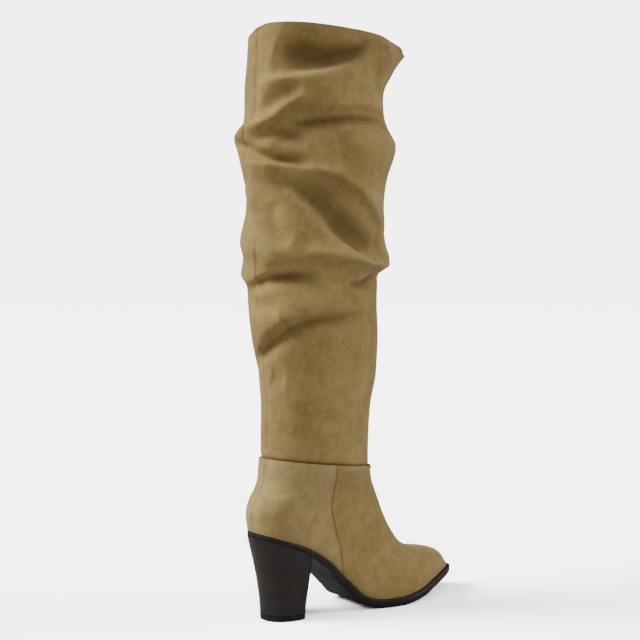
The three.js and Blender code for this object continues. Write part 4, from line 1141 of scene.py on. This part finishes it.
zip_rows = np.linspace(zip_start - 0.10, zip_end + 0.10, 120)
zip_step = millimetre_turn(zip_rows, np.full(120, zip_turn))
low_turns = zip_turn + np.linspace(-1, 1, 9)[1:-1] * beside_zip * zip_step[0]
zip_places = np.concatenate([zip_rows[::-1], np.full(7, zip_rows[0]), zip_rows])
zip_turns = np.concatenate([zip_turn - beside_zip * zip_step[::-1], low_turns,
                            zip_turn + beside_zip * zip_step])
stitch_row("zip_stitches", skin(
    zip_places, zip_turns, np.full(len(zip_places), shaft_inset + thread_sunk)))

# Ankle zip: a chain of moulded teeth on a woven tape, which is sewn behind the slot in the shaft.
# Its cast slider stays at the top, and a flat pull tab turns on the slider's bar.
tooth_pitch, tooth_across, tooth_along, tooth_thick = 0.0021, 0.0030, 0.00125, 0.0017
tooth_shift, chain_inset = 0.0008, 0.0008
tape_width, tape_thickness = 0.024, 0.0008
slider_width, slider_length, slider_thickness = 0.009, 0.011, 0.0024
pull_width, pull_length, pull_thickness = 0.007, 0.024, 0.0014
bar_radius, bar_height, eye_width, eye_radius, post_width = 0.0009, 0.0051, 0.003, 0.0023, 0.0012

metal, tree, shader = finish("antique_metal", Metallic=1.0)
spot = object_place(tree)
tarnish = noise(tree, spot, 420, 4, 0.6)
colour = blend(tree, spread(tree, tarnish, 0.35, 0.65), (0.13, 0.095, 0.062, 1), (0.30, 0.235, 0.165, 1))
surface(tree, shader, colour, spread(tree, tarnish, 0.3, 0.7, 0.42, 0.28),
        noise(tree, spot, 2400, 2), 0.1, 0.0001)

woven, tree, shader = finish("woven_tape", Specular_IOR_Level=0.25, Roughness=0.85, Sheen_Weight=0.2)
spot = object_place(tree)
warp, weft = (node(tree, "TexWave", {"bands_direction": way}, Vector=spot, Scale=420.0).outputs[0]
              for way in ("Z", "X"))
weave = maths(tree, "MULTIPLY", warp, weft)
surface(tree, shader, blend(tree, weave, (0.045, 0.020, 0.014, 1), (0.105, 0.052, 0.036, 1)), None,
        weave, 0.4, 0.0003)


def zip_frames(places, depth):
    """Places on the zip's middle line, with its directions across, along and out of the shaft"""
    turn, deep = np.full(len(places), zip_turn), np.full(len(places), depth)
    middle = skin(places, turn, deep)
    up, aside = skin(places + 0.03, turn, deep) - middle, skin(places, turn + 0.03, deep) - middle
    frames = []
    for at, along_zip, round_shaft in zip(middle, up, aside):
        lengthwise = Vector(along_zip).normalized()
        outward = Vector(round_shaft).cross(lengthwise).normalized()
        axes = Matrix((lengthwise.cross(outward), lengthwise, outward))
        frames.append(Matrix.Translation(at) @ axes.transposed().to_4x4())
    return frames


def joined(name, pieces):
    """Several pieces made one"""
    bpy.ops.object.select_all(action="DESELECT")
    for piece in pieces:
        piece.select_set(True)
    bpy.context.view_layer.objects.active = pieces[0]
    bpy.ops.object.transform_apply()
    if len(pieces) > 1:
        bpy.ops.object.join()
    bpy.ops.object.shade_smooth_by_angle(angle=radians(40))
    pieces[0].name = pieces[0].data.name = name
    return pieces[0]


bpy.ops.object.select_all(action="DESELECT")
bpy.ops.mesh.primitive_cube_add(size=1)
tooth = bpy.context.object
in_edit_mode(tooth, lambda: bpy.ops.transform.resize(
    value=(tooth_across, tooth_along, tooth_thick), center_override=(0, 0, 0)))
add_modifier(tooth, "BEVEL", width=0.0003, segments=2)
chain_places = np.linspace(zip_start + 0.02, zip_end - 0.02, 600)
chain_line = skin(chain_places, np.full(600, zip_turn), np.zeros(600))
chain_steps = np.concatenate([[0], np.cumsum(np.linalg.norm(np.diff(chain_line, axis=0), axis=1))])
tooth_steps = np.arange(chain_inset, chain_steps[-1] - chain_inset, tooth_pitch / 2)
tooth_places = np.interp(tooth_steps, chain_steps, chain_places)
teeth = []
for i, tooth_frame in enumerate(zip_frames(tooth_places, shaft_inset + 0.0008)):
    copy = bpy.data.objects.new("tooth", tooth.data.copy())
    bpy.context.scene.collection.objects.link(copy)
    copy.matrix_world = tooth_frame @ Matrix.Translation(((i % 2 * 2 - 1) * tooth_shift, 0, 0))
    teeth.append(copy)
bpy.data.objects.remove(tooth)
teeth = joined("zip_teeth_chain", teeth)
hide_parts("zip_teeth")

tape_places = np.linspace(zip_start - 0.16, zip_end + 0.3, 60)
tape_step = millimetre_turn(tape_places, np.full(60, zip_turn))
across_tape = np.linspace(-0.5, 0.5, 13) * tape_width
tape, _, _ = sheet("zip_tape_woven", skin(
    tape_places[:, None], zip_turn + across_tape[None] * tape_step[:, None],
    shaft_inset + shaft_wall + joint_gap + np.zeros((60, 13))))
add_modifier(tape, "SOLIDIFY", thickness=tape_thickness, offset=-1)
tape = joined("zip_tape_woven", [tape])
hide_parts("zip_tape")


def plate(outline, low, high, edge):
    """A plate with rounded edges from its outline"""
    bpy.ops.object.select_all(action="DESELECT")
    bpy.ops.mesh.primitive_circle_add(vertices=len(outline), radius=1, fill_type="NGON")
    piece = bpy.context.object
    for vertex, (x, y) in zip(piece.data.vertices, outline):
        vertex.co = (x, y, low)

    def thicken():
        bpy.ops.mesh.select_all(action="SELECT")
        bpy.ops.mesh.extrude_region_move(TRANSFORM_OT_translate={"value": (0, 0, high - low)})
        bpy.ops.mesh.select_all(action="SELECT")
        bpy.ops.mesh.normals_make_consistent(inside=False)

    in_edit_mode(piece, thicken)
    add_modifier(piece, "BEVEL", width=edge, segments=3, limit_method="ANGLE",
                 angle_limit=radians(50))
    return piece


def rounded(corners, cuts):
    """Outline with its corners cut again and again, so that they read as round"""
    line = np.array(corners)
    for _ in range(cuts):
        after = np.roll(line, -1, axis=0)
        line = np.stack([line * 0.75 + after * 0.25, line * 0.25 + after * 0.75], 1).reshape(-1, 2)
    return line


def both_sides(half):
    return half + [(-x, y) for x, y in reversed(half)]


def rod(radius, length, height, sides=24):
    bpy.ops.object.select_all(action="DESELECT")
    bpy.ops.mesh.primitive_cylinder_add(vertices=sides, radius=radius, depth=length,
                                        location=(0, 0, height), rotation=(0, pi / 2, 0))
    return bpy.context.object


hinge = next(joint for joint in frame["joints"] if joint["name"] == "pull_turn")
across = -Vector(hinge["axis"]).normalized()
out = across.cross(Vector((-0.030, 0.079, 0.996))).normalized()
up = out.cross(across)
slider_frame = Matrix.Translation(Vector(hinge["pos_m"]) - out * bar_height) @ Matrix(
    (across, up, out)).transposed().to_4x4()

body = plate(rounded(both_sides([
    (0.26 * slider_width, -0.5 * slider_length), (0.44 * slider_width, -0.42 * slider_length),
    (0.5 * slider_width, 0.22 * slider_length), (0.42 * slider_width, 0.5 * slider_length),
]), 3), 0, slider_thickness, 0.0005)
parts_of_slider = [body]
for side in (-1, 1):
    post = plate(rounded([
        (-eye_radius, slider_thickness / 2), (eye_radius, slider_thickness / 2),
        (eye_radius, bar_height), (0.7 * eye_radius, bar_height + bar_radius),
        (-0.7 * eye_radius, bar_height + bar_radius), (-eye_radius, bar_height),
    ], 2), -post_width / 2, post_width / 2, 0.0003)
    post.matrix_world = Matrix(((0, 0, 1, side * (eye_width / 2 + joint_gap + post_width / 2)),
                                (1, 0, 0, 0), (0, 1, 0, 0), (0, 0, 0, 1)))
    parts_of_slider.append(post)
parts_of_slider.append(rod(bar_radius, eye_width + 2 * joint_gap + post_width, bar_height))
slider = joined("zip_slider_cast", parts_of_slider)
slider.matrix_world = slider_frame
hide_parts("zip_slider")

tab = plate(rounded(both_sides([
    (0.5 * eye_width, -0.0016), (0.5 * eye_width, -0.45 * slider_length),
    (0.5 * pull_width, -0.72 * slider_length), (0.5 * pull_width, -pull_length + 0.25 * pull_width),
    (0.32 * pull_width, -pull_length),
]), 3), bar_height - pull_thickness / 2, bar_height + pull_thickness / 2, 0.00035)
punch = rod(0.2 * pull_width, 0.01, 0)
punch.matrix_world = Matrix.Translation((0, -pull_length + 0.55 * pull_width, bar_height))
add_modifier(tab, "BOOLEAN", operation="DIFFERENCE", object=punch, solver="EXACT")
bpy.data.objects.remove(punch)
bpy.ops.object.select_all(action="DESELECT")
hole_radius = bar_radius + joint_gap
ring_half = (eye_radius - hole_radius) / 2
bpy.ops.mesh.primitive_torus_add(
    major_segments=28, minor_segments=12, major_radius=hole_radius + ring_half,
    minor_radius=ring_half, location=(0, 0, bar_height), rotation=(0, pi / 2, 0))
eye = bpy.context.object
eye.scale = (1, 1, eye_width / 2 / ring_half)
pull = joined("zip_pull_tab", [tab, eye])
pull.matrix_world = slider_frame
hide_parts("zip_pull")
for piece in (slider, pull):
    only_selected(piece)
    bpy.ops.object.transform_apply()
for piece, body_name, paint, slot_name in (
    (teeth, "boot", metal, "zip_metal"), (tape, "boot", woven, "zip_tape"),
    (slider, "boot", metal, "zip_metal"), (pull, "pull", metal, "zip_metal"),
):
    piece.data.materials.clear()
    piece.data.materials.append(paint)
    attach(piece, body_name)

# Insole: a smooth tan leather sock over the insole board. The CAD solid has its shape, so it only
# gets the leather with its fine pores.
sock, tree, shader = finish("leather_sock", Specular_IOR_Level=0.4)
spot = object_place(tree)
pores = node(tree, "TexVoronoi", Vector=spot, Scale=900.0).outputs[0]
rubbed = noise(tree, spot, 30, 4)
surface(tree, shader, blend(tree, rubbed, (0.36, 0.225, 0.105, 1), (0.50, 0.34, 0.18, 1)),
        spread(tree, rubbed, 0.3, 0.7, 0.42, 0.6), pores, 0.18, 0.0002)
for slot_of_node in bpy.data.objects["insole"].material_slots:
    slot_of_node.material = sock

# Floor, light and camera: a pale studio floor that runs into the background, and broad soft
# light from both sides and from above.
floor_tone, horizon_tone = 5.2, 5.25
view_turn = radians(35)
view_along = Vector((sin(view_turn), cos(view_turn), 0))
view_right = Vector((cos(view_turn), -sin(view_turn), 0))
bpy.ops.mesh.primitive_circle_add(vertices=64, radius=40, fill_type="NGON", location=(0, 0, 0))
floor = bpy.context.object
floor.name = "floor"
floor_paint = bpy.data.materials.new("floor_paint")
floor_paint.use_nodes = True
tree = floor_paint.node_tree
tree.nodes.remove(tree.nodes["Principled BSDF"])
seen = node(tree, "BsdfDiffuse", Color=(floor_tone, floor_tone, floor_tone, 1))
bounced = node(tree, "BsdfDiffuse", Color=(0.40, 0.40, 0.40, 1))
to_camera = node(tree, "LightPath").outputs["Is Camera Ray"]
either = node(tree, "MixShader", i0=to_camera, i1=bounced.outputs[0], i2=seen.outputs[0])
tree.links.new(either.outputs[0], tree.nodes["Material Output"].inputs["Surface"])
floor.data.materials.append(floor_paint)

world = bpy.data.worlds.new("studio")
bpy.context.scene.world = world
world.use_nodes = True
tree = world.node_tree
backdrop = tree.nodes["Background"]
backdrop.inputs["Color"].default_value = (1, 1, 1, 1)
to_camera = node(tree, "LightPath").outputs["Is Camera Ray"]
strength = node(tree, "MapRange", i0=to_camera, i1=0.0, i2=1.0, i3=0.12, i4=horizon_tone)
tree.links.new(strength.outputs[0], backdrop.inputs["Strength"])

for name, toward, energy, softness in (
    ("left_light", view_right * -0.85 + view_along * -0.10 + Vector((0, 0, 0.70)), 3.3, 30),
    ("right_light", view_right * 0.90 + view_along * 0.05 + Vector((0, 0, 0.42)), 1.35, 34),
    ("front_light", view_right * -0.15 + view_along * -0.80 + Vector((0, 0, 0.80)), 0.6, 50),
):
    bpy.ops.object.light_add(type="SUN", location=toward * 3)
    lamp = bpy.context.object
    lamp.name = name
    lamp.data.energy = energy
    lamp.data.angle = radians(softness)
    lamp.rotation_euler = toward.to_track_quat("Z", "Y").to_euler()

photo_size = 640
bpy.ops.object.camera_add(location=(-0.5708, -0.8810, 0.2894), rotation=(pi / 2, 0, -view_turn))
camera = bpy.context.object
camera.data.sensor_width = 36
camera.data.lens = 1150 / photo_size * camera.data.sensor_width
camera.data.shift_y = -20 / photo_size
bpy.context.scene.camera = camera
